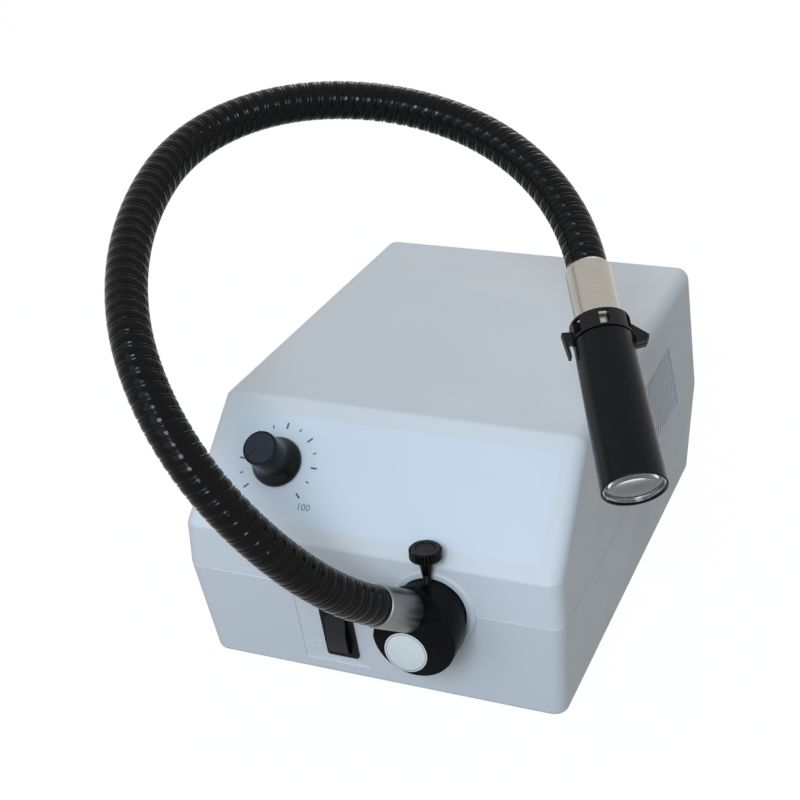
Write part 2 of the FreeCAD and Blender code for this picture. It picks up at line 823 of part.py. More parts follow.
def make_condenser():
    radius = barrel_radius - barrel_wall
    clear = radius - barrel_step - seat_gap
    lens = make_lens(radius, condenser_thick, condenser_bulge, clear, clear)
    return placed(lens, engine_place(barrel_front + condenser_back))


def make_led_board():
    board = plate(led_board_size, led_board_size, 0, board_thick, led_board_corner)
    return placed(board, engine_place(led_board_front))


def make_emitter():
    base = rod(emitter_radius, -emitter_base, 0)
    cap = dome(emitter_radius, emitter_dome, emitter_base).mirror(origin, z_axis)
    return placed(joined([base, cap]), engine_place(led_board_front))


def make_heat_sink():
    half = sink_size / 2
    sink = box((-half, -half, 0), (half, half, sink_base))
    pitch = (sink_size - fin_thick) / (fin_count - 1)
    for number in range(fin_count):
        low = -half + number * pitch
        sink = sink.fuse(box((low, -half, sink_base), (low + fin_thick, half, sink_depth)))
    for x, y in corner_places(fan_hole_spread / 2, fan_hole_spread / 2):
        boss = rod(fan_screw_radius + sink_boss_wall, sink_base, sink_depth, Vec(x, y, 0))
        sink = sink.fuse(boss).cut(rod(fan_screw_radius, sink_base, sink_depth, Vec(x, y, 0)))
    return placed(sink.removeSplitter(), engine_place(sink_front))


def make_fan_frame():
    frame = plate(fan_size, fan_size, 0, fan_depth, fan_corner).cut(rod(fan_duct_radius, 0, fan_depth))
    back = fan_depth - fan_back_plate
    spider = rod(fan_hub_radius, back, fan_depth)
    for number in range(4):
        strut = box((0, -fan_strut / 2, back), (fan_size / 2, fan_strut / 2, fan_depth))
        strut.rotate(origin, z_axis, 45 + 90 * number)
        spider = spider.fuse(strut)
    frame = joined([frame, spider])
    tools = [rod(fan_screw_radius, 0, fan_depth, Vec(x, y, 0))
             for x, y in corner_places(fan_hole_spread / 2, fan_hole_spread / 2)]
    tools.append(rod(fan_shaft_radius + running_gap, 0, fan_depth))
    return placed(cut_all(frame, tools), engine_place(fan_front))


def make_fan_rotor():
    back = fan_depth - fan_back_plate - seat_gap
    rotor = rod(fan_hub_radius, seat_gap, back)
    middle = (seat_gap + back) / 2
    chord = (back - seat_gap) * fan_blade_fill / math.cos(math.radians(fan_blade_pitch))
    root = fan_hub_radius - fan_blade_thick
    swept = tube(fan_blade_radius, root, seat_gap, back)
    for number in range(fan_blade_count):
        blade = box((root, -fan_blade_thick / 2, -chord / 2),
                    (fan_duct_radius, fan_blade_thick / 2, chord / 2))
        blade.rotate(origin, x_axis, fan_blade_pitch)
        blade.translate(Vec(0, 0, middle))
        blade.rotate(origin, z_axis, number * 360 / fan_blade_count)
        rotor = rotor.fuse(blade.common(swept))
    rotor = rotor.fuse(rod(fan_shaft_radius, back, fan_depth - seat_gap))
    return placed(rotor.removeSplitter(), engine_place(fan_front))


def make_fan_screws():
    head = rod(2 * fan_screw_radius, fan_depth, fan_depth + fan_screw_head)
    screw = joined([head, rod(fan_screw_radius, -fan_screw_grip, fan_depth)])
    return placed(Part.makeCompound(
        [screw.translated(Vec(x, y, 0)) for x, y in corner_places(fan_hole_spread / 2, fan_hole_spread / 2)]),
        engine_place(fan_front))


def make_power_board():
    board = box((board_left, board_front, board_height), (board_right, board_rear, board_top))
    holes = [rod(board_screw_radius, board_height, board_top, Vec(x, y, 0)) for x, y in board_corners]
    return cut_all(board, holes)


def make_board_screws():
    screw = joined([rod(board_screw_head, board_top, board_top + board_screw_head_height),
                    rod(board_screw_radius, board_height / 2, board_top)])
    return Part.makeCompound([screw.translated(Vec(x, y, 0)) for x, y in board_corners])


def make_transformer_core():
    top = board_top + core_height
    frame = box((-core_width / 2, -core_depth / 2, board_top), (core_width / 2, core_depth / 2, top))
    window = box((-core_width / 2 + core_leg, -core_depth / 2, board_top + core_leg),
                 (core_width / 2 - core_leg, core_depth / 2, top - core_leg))
    middle = rod(bobbin_radius, board_top + core_leg, top - core_leg)
    return joined([frame.cut(window), middle]).translated(transformer_place())


def transformer_place():
    return Vec(board_left + transformer_inset, board_front + transformer_setback, 0)


def make_transformer_winding():
    base = board_top + core_leg
    winding = tube(winding_radius, bobbin_radius, base, base + core_height - 2 * core_leg)
    return winding.translated(transformer_place())


def make_capacitors():
    top = board_top + capacitor_height
    can = turned([(0, board_top), (capacitor_radius, board_top), (capacitor_radius, top - capacitor_round),
                  (capacitor_radius - capacitor_round, top), (0, top)])
    middle = (board_left + board_right) / 2
    return Part.makeCompound([
        can.translated(Vec(middle + side * capacitor_spread / 2, board_rear - capacitor_inset, 0))
        for side in (-1, 1)])


def drawer_room(gap, depth):
    half_wide = drawer_width / 2 + gap
    half_high = drawer_height / 2 + gap
    return box((-half_wide, -drawer_down - half_high, -depth - gap),
               (half_wide, -drawer_down + half_high, inlet_flange_proud))


def make_inlet_body():
    flange = plate(inlet_flange_width, inlet_flange_height, -case_wall, inlet_flange_proud,
                   inlet_flange_corner)
    flange = placed(flange, inlet_frame).cut(outer_half(False))
    body = plate(inlet_body_width, inlet_body_height, -inlet_body_depth, 0, inlet_body_corner)
    body = placed(body, inlet_frame)
    inlet = joined([flange, body])
    half = socket_width / 2
    low = socket_up - socket_height / 2
    high = socket_up + socket_height / 2
    outline = [Vec(-half, low, 0), Vec(half, low, 0), Vec(half, high - socket_chamfer, 0),
               Vec(half - socket_chamfer, high, 0), Vec(-half + socket_chamfer, high, 0),
               Vec(-half, high - socket_chamfer, 0)]
    socket = prism(outline, z_axis * (socket_depth + inlet_flange_proud))
    socket.translate(Vec(0, 0, -socket_depth))
    tools = [placed(socket, inlet_frame), placed(drawer_room(seat_gap, drawer_depth), inlet_frame)]
    for x in (-inlet_screw_spread / 2, inlet_screw_spread / 2):
        screw_hole = rod(inlet_screw_radius, -case_wall, inlet_flange_proud, Vec(x, 0, 0))
        tools.append(placed(screw_hole, inlet_frame))
    tools.append(make_inlet_pins())
    return cut_all(inlet, tools)


def inlet_pin_places():
    low = socket_up - inlet_earth_up / 2
    return [Vec(-inlet_pin_spread, low, 0), Vec(0, low + inlet_earth_up, 0), Vec(inlet_pin_spread, low, 0)]


def make_inlet_pins():
    blade = box((-inlet_pin_thick / 2, -inlet_pin_width / 2, -inlet_body_depth - inlet_tail),
                (inlet_pin_thick / 2, inlet_pin_width / 2, -socket_depth + inlet_pin_length))
    return placed(Part.makeCompound([blade.translated(place) for place in inlet_pin_places()]), inlet_frame)


def make_fuse_drawer():
    drawer = drawer_room(0, drawer_depth)
    stand = inlet_flange_proud + drawer_stand
    lip = plate(drawer_width + 2 * drawer_lip, drawer_height + drawer_lip, stand, stand + drawer_lip_thick,
                drawer_lip_corner).translated(Vec(0, -drawer_down, 0))
    neck = box((-drawer_width / 2, -drawer_down - drawer_height / 2, inlet_flange_proud),
               (drawer_width / 2, -drawer_down + drawer_height / 2, stand))
    half = fuse_length / 2 + seat_gap
    back = drawer_wall - drawer_depth
    room = box((-half, -drawer_down - fuse_radius - seat_gap / 2, back),
               (half, drawer_height - drawer_down, back + 2 * fuse_radius + seat_gap))
    return placed(joined([drawer, neck, lip]).cut(room), inlet_frame)


def make_fuse():
    depth = -drawer_depth + drawer_wall + fuse_radius
    fuse = rod(fuse_radius, -fuse_length / 2, fuse_length / 2, Vec(0, -drawer_down, depth), x_axis)
    return placed(fuse, inlet_frame)


def make_inlet_screws():
    top = inlet_flange_proud + inlet_screw_head_height
    screw = joined([rod(inlet_screw_head, inlet_flange_proud, top),
                    rod(inlet_screw_radius, -3 * case_wall, inlet_flange_proud)])
    slot = box((-inlet_screw_head, -inlet_screw_slot / 2, top - inlet_screw_slot_depth),
               (inlet_screw_head, inlet_screw_slot / 2, cutter))
    screw = screw.cut(slot)
    return placed(Part.makeCompound(
        [screw.translated(Vec(side * inlet_screw_spread / 2, 0, 0)) for side in (-1, 1)]), inlet_frame)


def make_wire(points, radius):
    # an insulated wire: straight runs joined by tangent arcs as wide as the shorter run allows
    pieces = []
    start = points[0]
    for before, corner, after in zip(points, points[1:], points[2:]):
        come = Vec(corner - before).normalize()
        leave = Vec(after - corner).normalize()
        reach = wire_turn * min(before.distanceToPoint(corner), corner.distanceToPoint(after))
        turn = come.getAngle(leave)
        bend = corner - come * reach
        axis = come.cross(leave).normalize()
        centre = bend + axis.cross(come) * (reach / math.tan(turn / 2))
        section = Part.Face(Part.Wire(Part.makeCircle(radius, bend, come)))
        pieces.append(rod(radius, 0, start.distanceToPoint(bend), start, come))
        pieces.append(section.revolve(centre, axis, math.degrees(turn)))
        start = corner + leave * reach
    last_run = Vec(points[-1] - start)
    pieces.append(rod(radius, 0, last_run.Length, start, last_run.normalize()))
    return joined(pieces)


def dropped(points, radius):
    # a wire whose last point falls straight onto the power board
    return make_wire(points + [Vec(points[-1].x, points[-1].y, board_top)], radius)


def make_mains_wires():
    wires = []
    for place in inlet_pin_places():
        start = inlet_frame.multVec(place - z_axis * (inlet_body_depth + inlet_tail))
        wires.append(dropped([start, start - y_axis * mains_wire_run], mains_wire_radius))
    return Part.makeCompound(wires)


def make_switch_wires():
    wires = []
    for number in range(2):
        end = Vec(0, number * terminal_pitch, -switch_body_depth - terminal_length)
        start = switch_frame.multVec(end)
        lead = switch_frame.multVec(end - z_axis * wire_lead)
        landing = Vec(lead.x, board_front + switch_wire_landing + number * wire_spacing, lead.z)
        wires.append(dropped([start, lead, landing], wire_radius))
    return Part.makeCompound(wires)


def make_led_wires():
    wires = []
    corner = led_board_size / 2 - led_wire_inset
    for number in range(2):
        start = Vec(nose_x - corner, led_board_front, nose_height - corner + number * wire_spacing)
        lead = start - y_axis * led_wire_lead
        beside = Vec(board_right - led_wire_inset, lead.y, lead.z)
        landing = Vec(beside.x, board_front + led_wire_landing + number * wire_spacing, lead.z)
        wires.append(dropped([start, lead, beside, landing], wire_radius))
    return Part.makeCompound(wires)


def make_fan_wires():
    wires = []
    for number in range(2):
        start = Vec(nose_x - fan_size / 2, fan_front + fan_wire_back, sink_low + (number + 1) * wire_spacing)
        landing = Vec(board_right - (number + 1) * wire_spacing, start.y, start.z)
        wires.append(dropped([start, landing], wire_radius))
    return Part.makeCompound(wires)


def make_dimmer_wires():
    wires = []
    low = -case_wall - pot_depth - board_thick
    for number in (-1, 0, 1):
        end = Vec(number * wire_spacing, -dimmer_wire_down, low)
        lead = dial_frame.multVec(end - z_axis * wire_lead)
        landing = Vec(lead.x, board_front + dimmer_wire_landing, lead.z)
        wires.append(dropped([dial_frame.multVec(end), lead, landing], wire_radius))
    return Part.makeCompound(wires)


# The neck's route: an elbow point on the nose axis, the first axis, and one frame per bend
lean = math.radians(neck_lean_angle)
roll = math.radians(neck_roll_angle)
elbow = thumb_place()
first_axis = Vec(-math.sin(lean) * math.sin(roll), -math.cos(lean), math.sin(lean) * math.cos(roll))
base_frame = FreeCAD.Placement(elbow, FreeCAD.Rotation(z_axis, first_axis))


def neck_route():
    # start, direction and hinge axis of every span, and the neck's end
    point = elbow + first_axis * neck_start
    ahead = first_axis
    across = ahead.cross(z_axis).normalize()
    inward = across.cross(ahead)
    route = []
    for bend, twist in zip(span_bends, span_twists):
        turn = math.radians(twist)
        inward = inward * math.cos(turn) + ahead.cross(inward) * math.sin(turn)
        axis = ahead.cross(inward)
        angle = math.radians(bend)
        radius = span_length / angle
        route.append((point, ahead, inward, axis, radius, bend))
        point = point + ahead * (radius * math.sin(angle)) + inward * (radius * (1 - math.cos(angle)))
        turned_ahead = ahead * math.cos(angle) + inward * math.sin(angle)
        inward = inward * math.cos(angle) - ahead * math.sin(angle)
        ahead = turned_ahead
    return route, point, ahead


route, tip, tip_axis = neck_route()
sideways = z_axis.cross(tip_axis).normalize()
tip_frame = FreeCAD.Placement(tip, FreeCAD.Rotation(sideways, tip_axis.cross(sideways), tip_axis, "ZXY"))


def make_span(number):
    point, ahead, inward, axis, radius, bend = route[number]
    section = Part.Face(Part.Wire(Part.makeCircle(neck_radius, point, ahead)))
    span = section.revolve(point + inward * radius, axis, bend)
    if number > 0:
        span = span.fuse(Part.makeSphere(neck_radius, point))
    if number + 1 < len(route):
        span = span.cut(Part.makeSphere(neck_radius + ball_gap, route[number + 1][0]))
    return span


def make_sleeve():
    back = nosepiece_back + nosepiece_stop + sleeve_end_gap
    sleeve = turned([
        (sleeve_bore, back), (sleeve_radius - sleeve_chamfer, back), (sleeve_radius, back + sleeve_chamfer),
        (sleeve_radius, plug_back), (plug_spigot_radius, plug_back),
        (plug_spigot_radius, plug_back + plug_spigot_length),
        (0, plug_back + plug_spigot_length), (0, back + bundle_length), (sleeve_bore, back + bundle_length)])
    return placed(sleeve, nose_frame)


def make_bundle_input():
    back = nosepiece_back + nosepiece_stop + sleeve_end_gap
    return placed(rod(sleeve_bore, back, back + bundle_length), nose_frame)


def make_plug():
    disc = rod(plug_radius, plug_back + seat_gap, plug_front)
    rims = [edge for edge in disc.Edges if len(edge.Vertexes) == 1]
    disc = placed(disc.makeFillet(plug_edge, rims), nose_frame)
    spigot_room = rod(plug_spigot_radius + running_gap, 0, plug_back + plug_spigot_length + seat_gap)
    label_room = rod(label_radius, plug_front - label_recess, cutter, Vec(label_x, label_z, 0))
    tools = [rod(cutter / 4, plug_facet, cutter / 2, elbow, first_axis),
             rod(ferrule_radius, ferrule_socket, cutter / 2, elbow, first_axis),
             placed(spigot_room, nose_frame), placed(label_room, nose_frame)]
    return cut_all(disc, tools)


def make_label():
    low = plug_front - label_recess
    return placed(rod(label_radius, low, low + label_thick, Vec(label_x, label_z, 0)), nose_frame)


def make_base_ferrule():
    ferrule = turned([
        (0, ferrule_socket), (ferrule_radius, ferrule_socket), (ferrule_radius, neck_start - ferrule_round),
        (ferrule_radius - ferrule_round / 2, neck_start), (0, neck_start)])
    return placed(ferrule, base_frame)


def make_tip_ferrule():
    body = rod(tip_radius, 0, tip_length)
    back_rim = [edge for edge in body.Edges
                if len(edge.Vertexes) == 1 and edge.Vertexes[0].Z < tip_length / 2]
    body = body.makeFillet(tip_round, back_rim)
    return placed(body.cut(rod(sleeve_bore, tip_length - bundle_length, tip_length)), tip_frame)


def make_bundle_output():
    return placed(rod(sleeve_bore, tip_length - bundle_length, tip_length), tip_frame)


front_lens_face = head_end - front_lens_sink - front_lens_bulge
front_lens_seat = front_lens_face - front_lens_edge
front_ring_end = front_lens_face + front_ring_length
front_bore = head_front_radius - head_rim


def cross_slots(width, low, high):
    # slots right across the tip's axis, one through each pair of opposite collet slots
    slots = []
    for number in range(int(180 / collet_slot_step)):
        slot = box((-head_front_radius, -width / 2, low), (head_front_radius, width / 2, high))
        slot.rotate(origin, z_axis, collet_slot_turn + number * collet_slot_step)
        slots.append(slot)
    return slots


def make_head():
    bore = tip_radius + running_gap
    barrel = turned([
        (bore, head_back), (collet_radius, head_back), (collet_radius, collet_end),
        (head_back_radius, collet_end), (head_front_radius, head_end - head_edge),
        (head_front_radius - head_edge, head_end), (front_bore, head_end), (front_bore, front_lens_seat),
        (lens_radius, front_lens_seat), (lens_radius, lens_seat), (bore, lens_seat)])
    return placed(cut_all(barrel, cross_slots(collet_slot, head_back, collet_end)), tip_frame)


def make_clamp_jaws():
    # the outline of the toothed jaws beside the axis, which the split then parts into two
    outer = collet_radius + clamp_wall
    outline = [Vec(outer - clamp_seat, 0, clamp_jaw_back), Vec(outer, 0, clamp_jaw_back),
               Vec(clamp_jaw_reach, 0, clamp_jaw_point)]
    teeth = int((clamp_jaw_front - clamp_jaw_point) // clamp_tooth)
    for number in range(teeth):
        start = clamp_jaw_point + number * clamp_tooth
        reach = clamp_jaw_reach - number * clamp_tooth_depth
        outline.append(Vec(reach - clamp_tooth_depth, 0, start + clamp_tooth / 2))
        outline.append(Vec(reach - clamp_tooth_depth / 2, 0, start + clamp_tooth))
    outline += [Vec(outer + seat_gap, 0, clamp_jaw_front), Vec(outer + seat_gap, 0, clamp_front),
                Vec(outer - clamp_seat, 0, clamp_front)]
    jaws = prism(outline, y_axis * (2 * clamp_jaw_thick + clamp_split))
    return jaws.translated(Vec(0, -clamp_jaw_thick - clamp_split / 2, 0))


def make_clamp_tab():
    # the release tab: a plate that leaves the band and runs on beside the barrel
    outer = collet_radius + clamp_wall
    outline = [Vec(clamp_seat - outer, 0, clamp_tab_foot), Vec(-clamp_tab_reach, 0, clamp_tab_foot),
               Vec(clamp_tab_taper - clamp_tab_reach, 0, clamp_tab_end),
               Vec(clamp_tab_taper + clamp_tab_plate - clamp_tab_reach, 0, clamp_tab_end),
               Vec(2 * clamp_tab_plate - clamp_tab_reach, 0, clamp_front),
               Vec(clamp_seat - outer, 0, clamp_front)]
    return prism(outline, y_axis * clamp_tab_width).translated(Vec(0, -clamp_tab_width / 2, 0))


def make_clamp_ring():
    outer = collet_radius + clamp_wall
    ring = tube(outer, collet_radius, clamp_back, clamp_front)
    windows = cross_slots(clamp_window, clamp_back + clamp_window_rim, clamp_front - clamp_window_rim)
    ring = cut_all(ring, windows)
    split = box((0, -clamp_split / 2, clamp_back), (clamp_jaw_reach, clamp_split / 2, clamp_jaw_front))
    return placed(joined([ring, make_clamp_jaws(), make_clamp_tab()]).cut(split), tip_frame)


def head_ring(outer, wall, start, end):
    return placed(tube(outer, outer - wall, start, end), tip_frame)


def make_rear_lens():
    clear = tip_radius - seat_gap
    lens = make_lens(lens_radius, lens_edge, lens_bulge, clear, clear)
    return placed(lens.translated(Vec(0, 0, lens_seat)), tip_frame)


def make_front_lens():
    radius = front_bore - front_lens_play
    lens = make_lens(radius, front_lens_edge, front_lens_bulge, radius - front_ring_wall - front_lens_play,
                     lens_radius - lens_ring_wall - front_lens_play)
    return placed(lens.translated(Vec(0, 0, front_lens_seat)), tip_frame)


os.makedirs("parts", exist_ok=True)
save("lower_shell", make_lower_shell())
save("upper_shell", make_upper_shell())
save("rubber_feet", make_feet())
save("case_screws", make_case_screws())
save("front_film", make_front_film())
save("knob", make_knob())
save("knob_cap", make_knob_cap())
save("dimmer_pot", make_pot())
save("pot_shaft", make_pot_shaft())
save("pot_nut", make_pot_nut())
save("driver_board", make_driver_board())
save("rocker_bezel", make_rocker_bezel())
save("rocker", make_rocker())
save("switch_terminals", make_switch_terminals())
save("nose_bezel", make_nose_bezel())
save("nosepiece", make_nosepiece())
save("thumbscrew_head", make_thumb_head())
save("thumbscrew_shank", make_thumb_shank())
save("lens_barrel", make_lens_barrel())
save("condenser_lens", make_condenser())
save("led_board", make_led_board())
save("led_emitter", make_emitter())
save("heat_sink", make_heat_sink())
save("fan_frame", make_fan_frame())
save("fan_rotor", make_fan_rotor())
save("fan_screws", make_fan_screws())
save("power_board", make_power_board())
save("board_screws", make_board_screws())
save("transformer_core", make_transformer_core())
save("transformer_winding", make_transformer_winding())
save("capacitors", make_capacitors())
save("inlet_body", make_inlet_body())
save("inlet_pins", make_inlet_pins())
save("fuse_drawer", make_fuse_drawer())
save("fuse", make_fuse())
save("inlet_screws", make_inlet_screws())
save("mains_wires", make_mains_wires())
save("switch_wires", make_switch_wires())
save("led_wires", make_led_wires())
save("fan_wires", make_fan_wires())
save("dimmer_wires", make_dimmer_wires())
save("guide_sleeve", make_sleeve())
save("bundle_input", make_bundle_input())
save("guide_plug", make_plug())
save("plug_label", make_label())
save("base_ferrule", make_base_ferrule())
for number in range(len(route)):
    save("neck_span_" + str(number + 1), make_span(number))
save("tip_ferrule", make_tip_ferrule())
save("bundle_output", make_bundle_output())
save("head_barrel", make_head())
save("clamp_ring", make_clamp_ring())
save("rear_lens", make_rear_lens())
save("lens_spacer", head_ring(lens_radius, lens_ring_wall, lens_seat + lens_edge, front_lens_seat))
save("front_lens", make_front_lens())
save("lens_ring", head_ring(front_bore, front_ring_wall, front_lens_face, front_ring_end))
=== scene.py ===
import math

import bmesh
import bpy
from mathutils import Matrix, Quaternion, Vector


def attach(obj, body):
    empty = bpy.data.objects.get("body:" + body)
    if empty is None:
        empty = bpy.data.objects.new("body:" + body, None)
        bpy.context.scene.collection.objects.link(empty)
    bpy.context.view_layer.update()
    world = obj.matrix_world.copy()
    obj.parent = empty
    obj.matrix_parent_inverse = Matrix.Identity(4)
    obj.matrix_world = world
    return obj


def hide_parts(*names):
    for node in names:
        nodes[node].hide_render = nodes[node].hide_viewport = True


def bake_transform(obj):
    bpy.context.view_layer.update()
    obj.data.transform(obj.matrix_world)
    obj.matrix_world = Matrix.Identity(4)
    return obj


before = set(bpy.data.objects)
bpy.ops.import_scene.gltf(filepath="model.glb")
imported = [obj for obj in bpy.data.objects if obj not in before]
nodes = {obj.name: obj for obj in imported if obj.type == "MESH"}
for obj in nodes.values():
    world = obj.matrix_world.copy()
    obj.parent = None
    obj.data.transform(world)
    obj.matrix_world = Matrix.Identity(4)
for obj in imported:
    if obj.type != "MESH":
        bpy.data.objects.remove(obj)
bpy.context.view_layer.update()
scene = bpy.context.scene
millimetre = 0.001  # in metres; everything below is worked out in millimetres
metre = Matrix.Scale(millimetre, 4)
zAxis = Vector((0, 0, 1))
print("frame loaded:", len(nodes), "nodes")


camera = {"target": (25.84, -125.0, 142.4), "distance": 540.6, "azimuth": 23.8, "elevation": 26.48,
          "roll": -3.6, "lens": 70.47, "sensor": 36.0, "nearest": 10.0}


def aimCamera():
    azimuth = math.radians(camera["azimuth"])
    elevation = math.radians(camera["elevation"])
    back = Vector((math.sin(azimuth) * math.cos(elevation), -math.cos(azimuth) * math.cos(elevation),
                   math.sin(elevation)))
    lens = bpy.data.cameras.new("view")
    lens.lens = camera["lens"]
    lens.sensor_width = camera["sensor"]
    lens.clip_start = camera["nearest"] * millimetre
    holder = bpy.data.objects.new("view", lens)
    holder.location = (Vector(camera["target"]) + back * camera["distance"]) * millimetre
    holder.rotation_mode = "QUATERNION"
    roll = Quaternion(zAxis, math.radians(camera["roll"]))
    holder.rotation_quaternion = back.to_track_quat("Z", "Y") @ roll
    scene.collection.objects.link(holder)
    scene.camera = holder


aimCamera()
print("camera aimed")


# finishes: tones run from 0 to 255, sizes are millimetres
noiseReach = (0.3, 0.7)  # most of a noise's values lie between these


def tone(red, green, blue):
    # a screen colour as the linear one that the shader takes
    levels = [level / 255 for level in (red, green, blue)]
    return tuple(level / 12.92 if level <= 0.04045 else ((level + 0.055) / 1.055) ** 2.4 for level in levels)


def shaded(colour, share):
    return tuple(min(1.0, level * share) for level in colour) + (1.0,)


class Finish:
    # a Principled material with the few nodes that most finishes share

    def __init__(self, name):
        self.material = bpy.data.materials.new(name)
        self.material.use_nodes = True
        self.tree = self.material.node_tree
        self.shader = self.tree.nodes["Principled BSDF"]
        self.place = self.node("ShaderNodeTexCoord").outputs["Object"]
        self.height = None

    def node(self, kind, **values):
        made = self.tree.nodes.new(kind)
        for key, value in values.items():
            setattr(made, key, value)
        return made

    def link(self, source, socket):
        self.tree.links.new(source, socket)

    def turned(self, turn, stretch):
        mapping = self.node("ShaderNodeMapping", vector_type="TEXTURE")
        mapping.inputs["Rotation"].default_value = turn
        mapping.inputs["Scale"].default_value = stretch
        self.link(self.place, mapping.inputs["Vector"])
        return mapping.outputs["Vector"]

    def noise(self, size, detail=2.0, roughness=0.5, place=None):
        # size is about one patch of the pattern, and the node wants patches to a metre
        noise = self.node("ShaderNodeTexNoise")
        noise.inputs["Scale"].default_value = 1000 / size
        noise.inputs["Detail"].default_value = detail
        noise.inputs["Roughness"].default_value = roughness
        self.link(place or self.place, noise.inputs["Vector"])
        return noise.outputs["Fac"]

    def spread(self, value, low, high):
        spread = self.node("ShaderNodeMapRange")
        for name, level in zip(("From Min", "From Max", "To Min", "To Max"), noiseReach + (low, high)):
            spread.inputs[name].default_value = level
        self.link(value, spread.inputs["Value"])
        return spread.outputs["Result"]

    def mix(self, share, first, second):
        mix = self.node("ShaderNodeMix", data_type="RGBA")
        self.link(share, mix.inputs["Factor"])
        for name, colour in (("A_Color", first), ("B_Color", second)):
            next(entry for entry in mix.inputs if entry.identifier == name).default_value = colour
        return next(entry for entry in mix.outputs if entry.identifier == "Result_Color")

    def colour(self, source):
        self.link(source, self.shader.inputs["Base Color"])

    def rough(self, source):
        self.link(source, self.shader.inputs["Roughness"])

    def bump(self, value, depth):
        bump = self.node("ShaderNodeBump")
        bump.inputs["Distance"].default_value = depth * millimetre
        self.link(value, bump.inputs["Height"])
        if self.height:
            self.link(self.height, bump.inputs["Normal"])
        self.height = bump.outputs["Normal"]
        self.link(self.height, self.shader.inputs["Normal"])

    def set(self, **values):
        for key, value in values.items():
            self.shader.inputs[key.replace("_", " ")].default_value = value


# each pair is a noise's detail and roughness; the shares are of the patch's size and of the grain's depth
mould = {"patch": (3, 0.5), "gloss": (4, 0.6), "grain": (3, 0.55), "fine": (2, 0.5),
         "glossShare": 0.25, "fineShare": 0.35}


def moulded(name, base, patch=60, contrast=0.03, rough=(0.4, 0.5), grain=0.9, depth=0.02, fine=0.25,
            **sockets):
    # moulded, cast or painted: slow patches of tone, uneven gloss and a fine grain
    finish = Finish(name)
    slow = finish.spread(finish.noise(patch, *mould["patch"]), 0, 1)
    finish.colour(finish.mix(slow, shaded(base, 1 - contrast), shaded(base, 1 + contrast)))
    finish.rough(finish.spread(finish.noise(patch * mould["glossShare"], *mould["gloss"]), *rough))
    finish.bump(finish.noise(grain, *mould["grain"]), depth)
    finish.bump(finish.noise(fine, *mould["fine"]), depth * mould["fineShare"])
    finish.set(**sockets)
    return finish.material


# lines and marks each give a noise's size, detail and roughness, and how far it is drawn out
brush = {"lines": (0.12, 3, 0.6), "lineStretch": (60, 60, 1), "marks": (1.2, 2, 0.5),
         "markStretch": (1, 1, 14), "depth": 0.004}


def brushed(name, base, ahead, rough, contrast=0.1):
    # metal with fine lines round the axis "ahead", and a few long handling marks along it
    finish = Finish(name)
    turn = ahead.to_track_quat("Z", "Y").to_euler()
    lines = finish.noise(*brush["lines"], finish.turned(turn, brush["lineStretch"]))
    marks = finish.noise(*brush["marks"], finish.turned(turn, brush["markStretch"]))
    share = finish.spread(lines, 0, 1)
    finish.colour(finish.mix(share, shaded(base, 1 - contrast), shaded(base, 1 + contrast)))
    finish.rough(finish.spread(marks, *rough))
    finish.bump(lines, brush["depth"])
    finish.set(Metallic=1.0)
    return finish.material


# the pale case, its film and prints
casePlastic = moulded("casePlastic", tone(202, 205, 208), patch=90, contrast=0.012, rough=(0.42, 0.52),
                      grain=0.8, depth=0.012, Specular_IOR_Level=0.12)
bezelPlastic = moulded("bezelPlastic", tone(190, 196, 201), patch=30, contrast=0.02, rough=(0.34, 0.44),
                       depth=0.006, Specular_IOR_Level=0.25)
panelFilm = moulded("panelFilm", tone(201, 209, 216), patch=40, contrast=0.012, rough=(0.42, 0.5),
                    grain=0.35, depth=0.008, fine=0.12, Specular_IOR_Level=0.12)
dialInk = moulded("dialInk", tone(70, 82, 132), patch=4, contrast=0.05, rough=(0.35, 0.45), depth=0.002)
dialNumerals = moulded("dialNumerals", tone(92, 104, 156), patch=4, contrast=0.05, rough=(0.35, 0.45),
                       depth=0.002)
labelPaper = moulded("labelPaper", tone(206, 209, 208), patch=5, contrast=0.03, rough=(0.5, 0.62),
                     grain=0.25, depth=0.006)
labelRing = moulded("labelRing", tone(110, 114, 116), patch=3, contrast=0.06, rough=(0.5, 0.6), depth=0.002)

# the black pieces
switchBlack = moulded("switchBlack", tone(7, 7, 9), patch=6, contrast=0.15, rough=(0.3, 0.42),
                      grain=0.5, depth=0.008, Specular_IOR_Level=0.08)
rockerBlack = moulded("rockerBlack", tone(8, 9, 13), patch=5, contrast=0.15, rough=(0.18, 0.28),
                      grain=0.5, depth=0.006, Specular_IOR_Level=0.25)
knobBlack = moulded("knobBlack", tone(9, 10, 12), patch=6, contrast=0.2, rough=(0.18, 0.28),
                    grain=0.6, depth=0.004, Specular_IOR_Level=0.15)
knobCap = moulded("knobCap", tone(34, 40, 50), patch=5, contrast=0.08, rough=(0.4, 0.5),
                  grain=0.3, depth=0.006, Specular_IOR_Level=0.2)
outletBlack = moulded("outletBlack", tone(10, 10, 12), patch=8, contrast=0.15, rough=(0.28, 0.4),
                      grain=0.5, depth=0.006, Specular_IOR_Level=0.12)
plugBlack = moulded("plugBlack", tone(6, 7, 9), patch=7, contrast=0.15, rough=(0.24, 0.36),
                    grain=0.6, depth=0.006, Specular_IOR_Level=0.06)
headBlack = moulded("headBlack", tone(10, 11, 13), patch=18, contrast=0.15, rough=(0.24, 0.32),
                    grain=0.5, depth=0.003, Specular_IOR_Level=0.12)
clampBlack = moulded("clampBlack", tone(10, 10, 12), patch=5, contrast=0.2, rough=(0.34, 0.46),
                     grain=0.4, depth=0.008, Specular_IOR_Level=0.2)
screwBlack = moulded("screwBlack", tone(6, 6, 8), patch=4, contrast=0.2, rough=(0.26, 0.4),
                     grain=0.3, depth=0.006, Specular_IOR_Level=0.1)
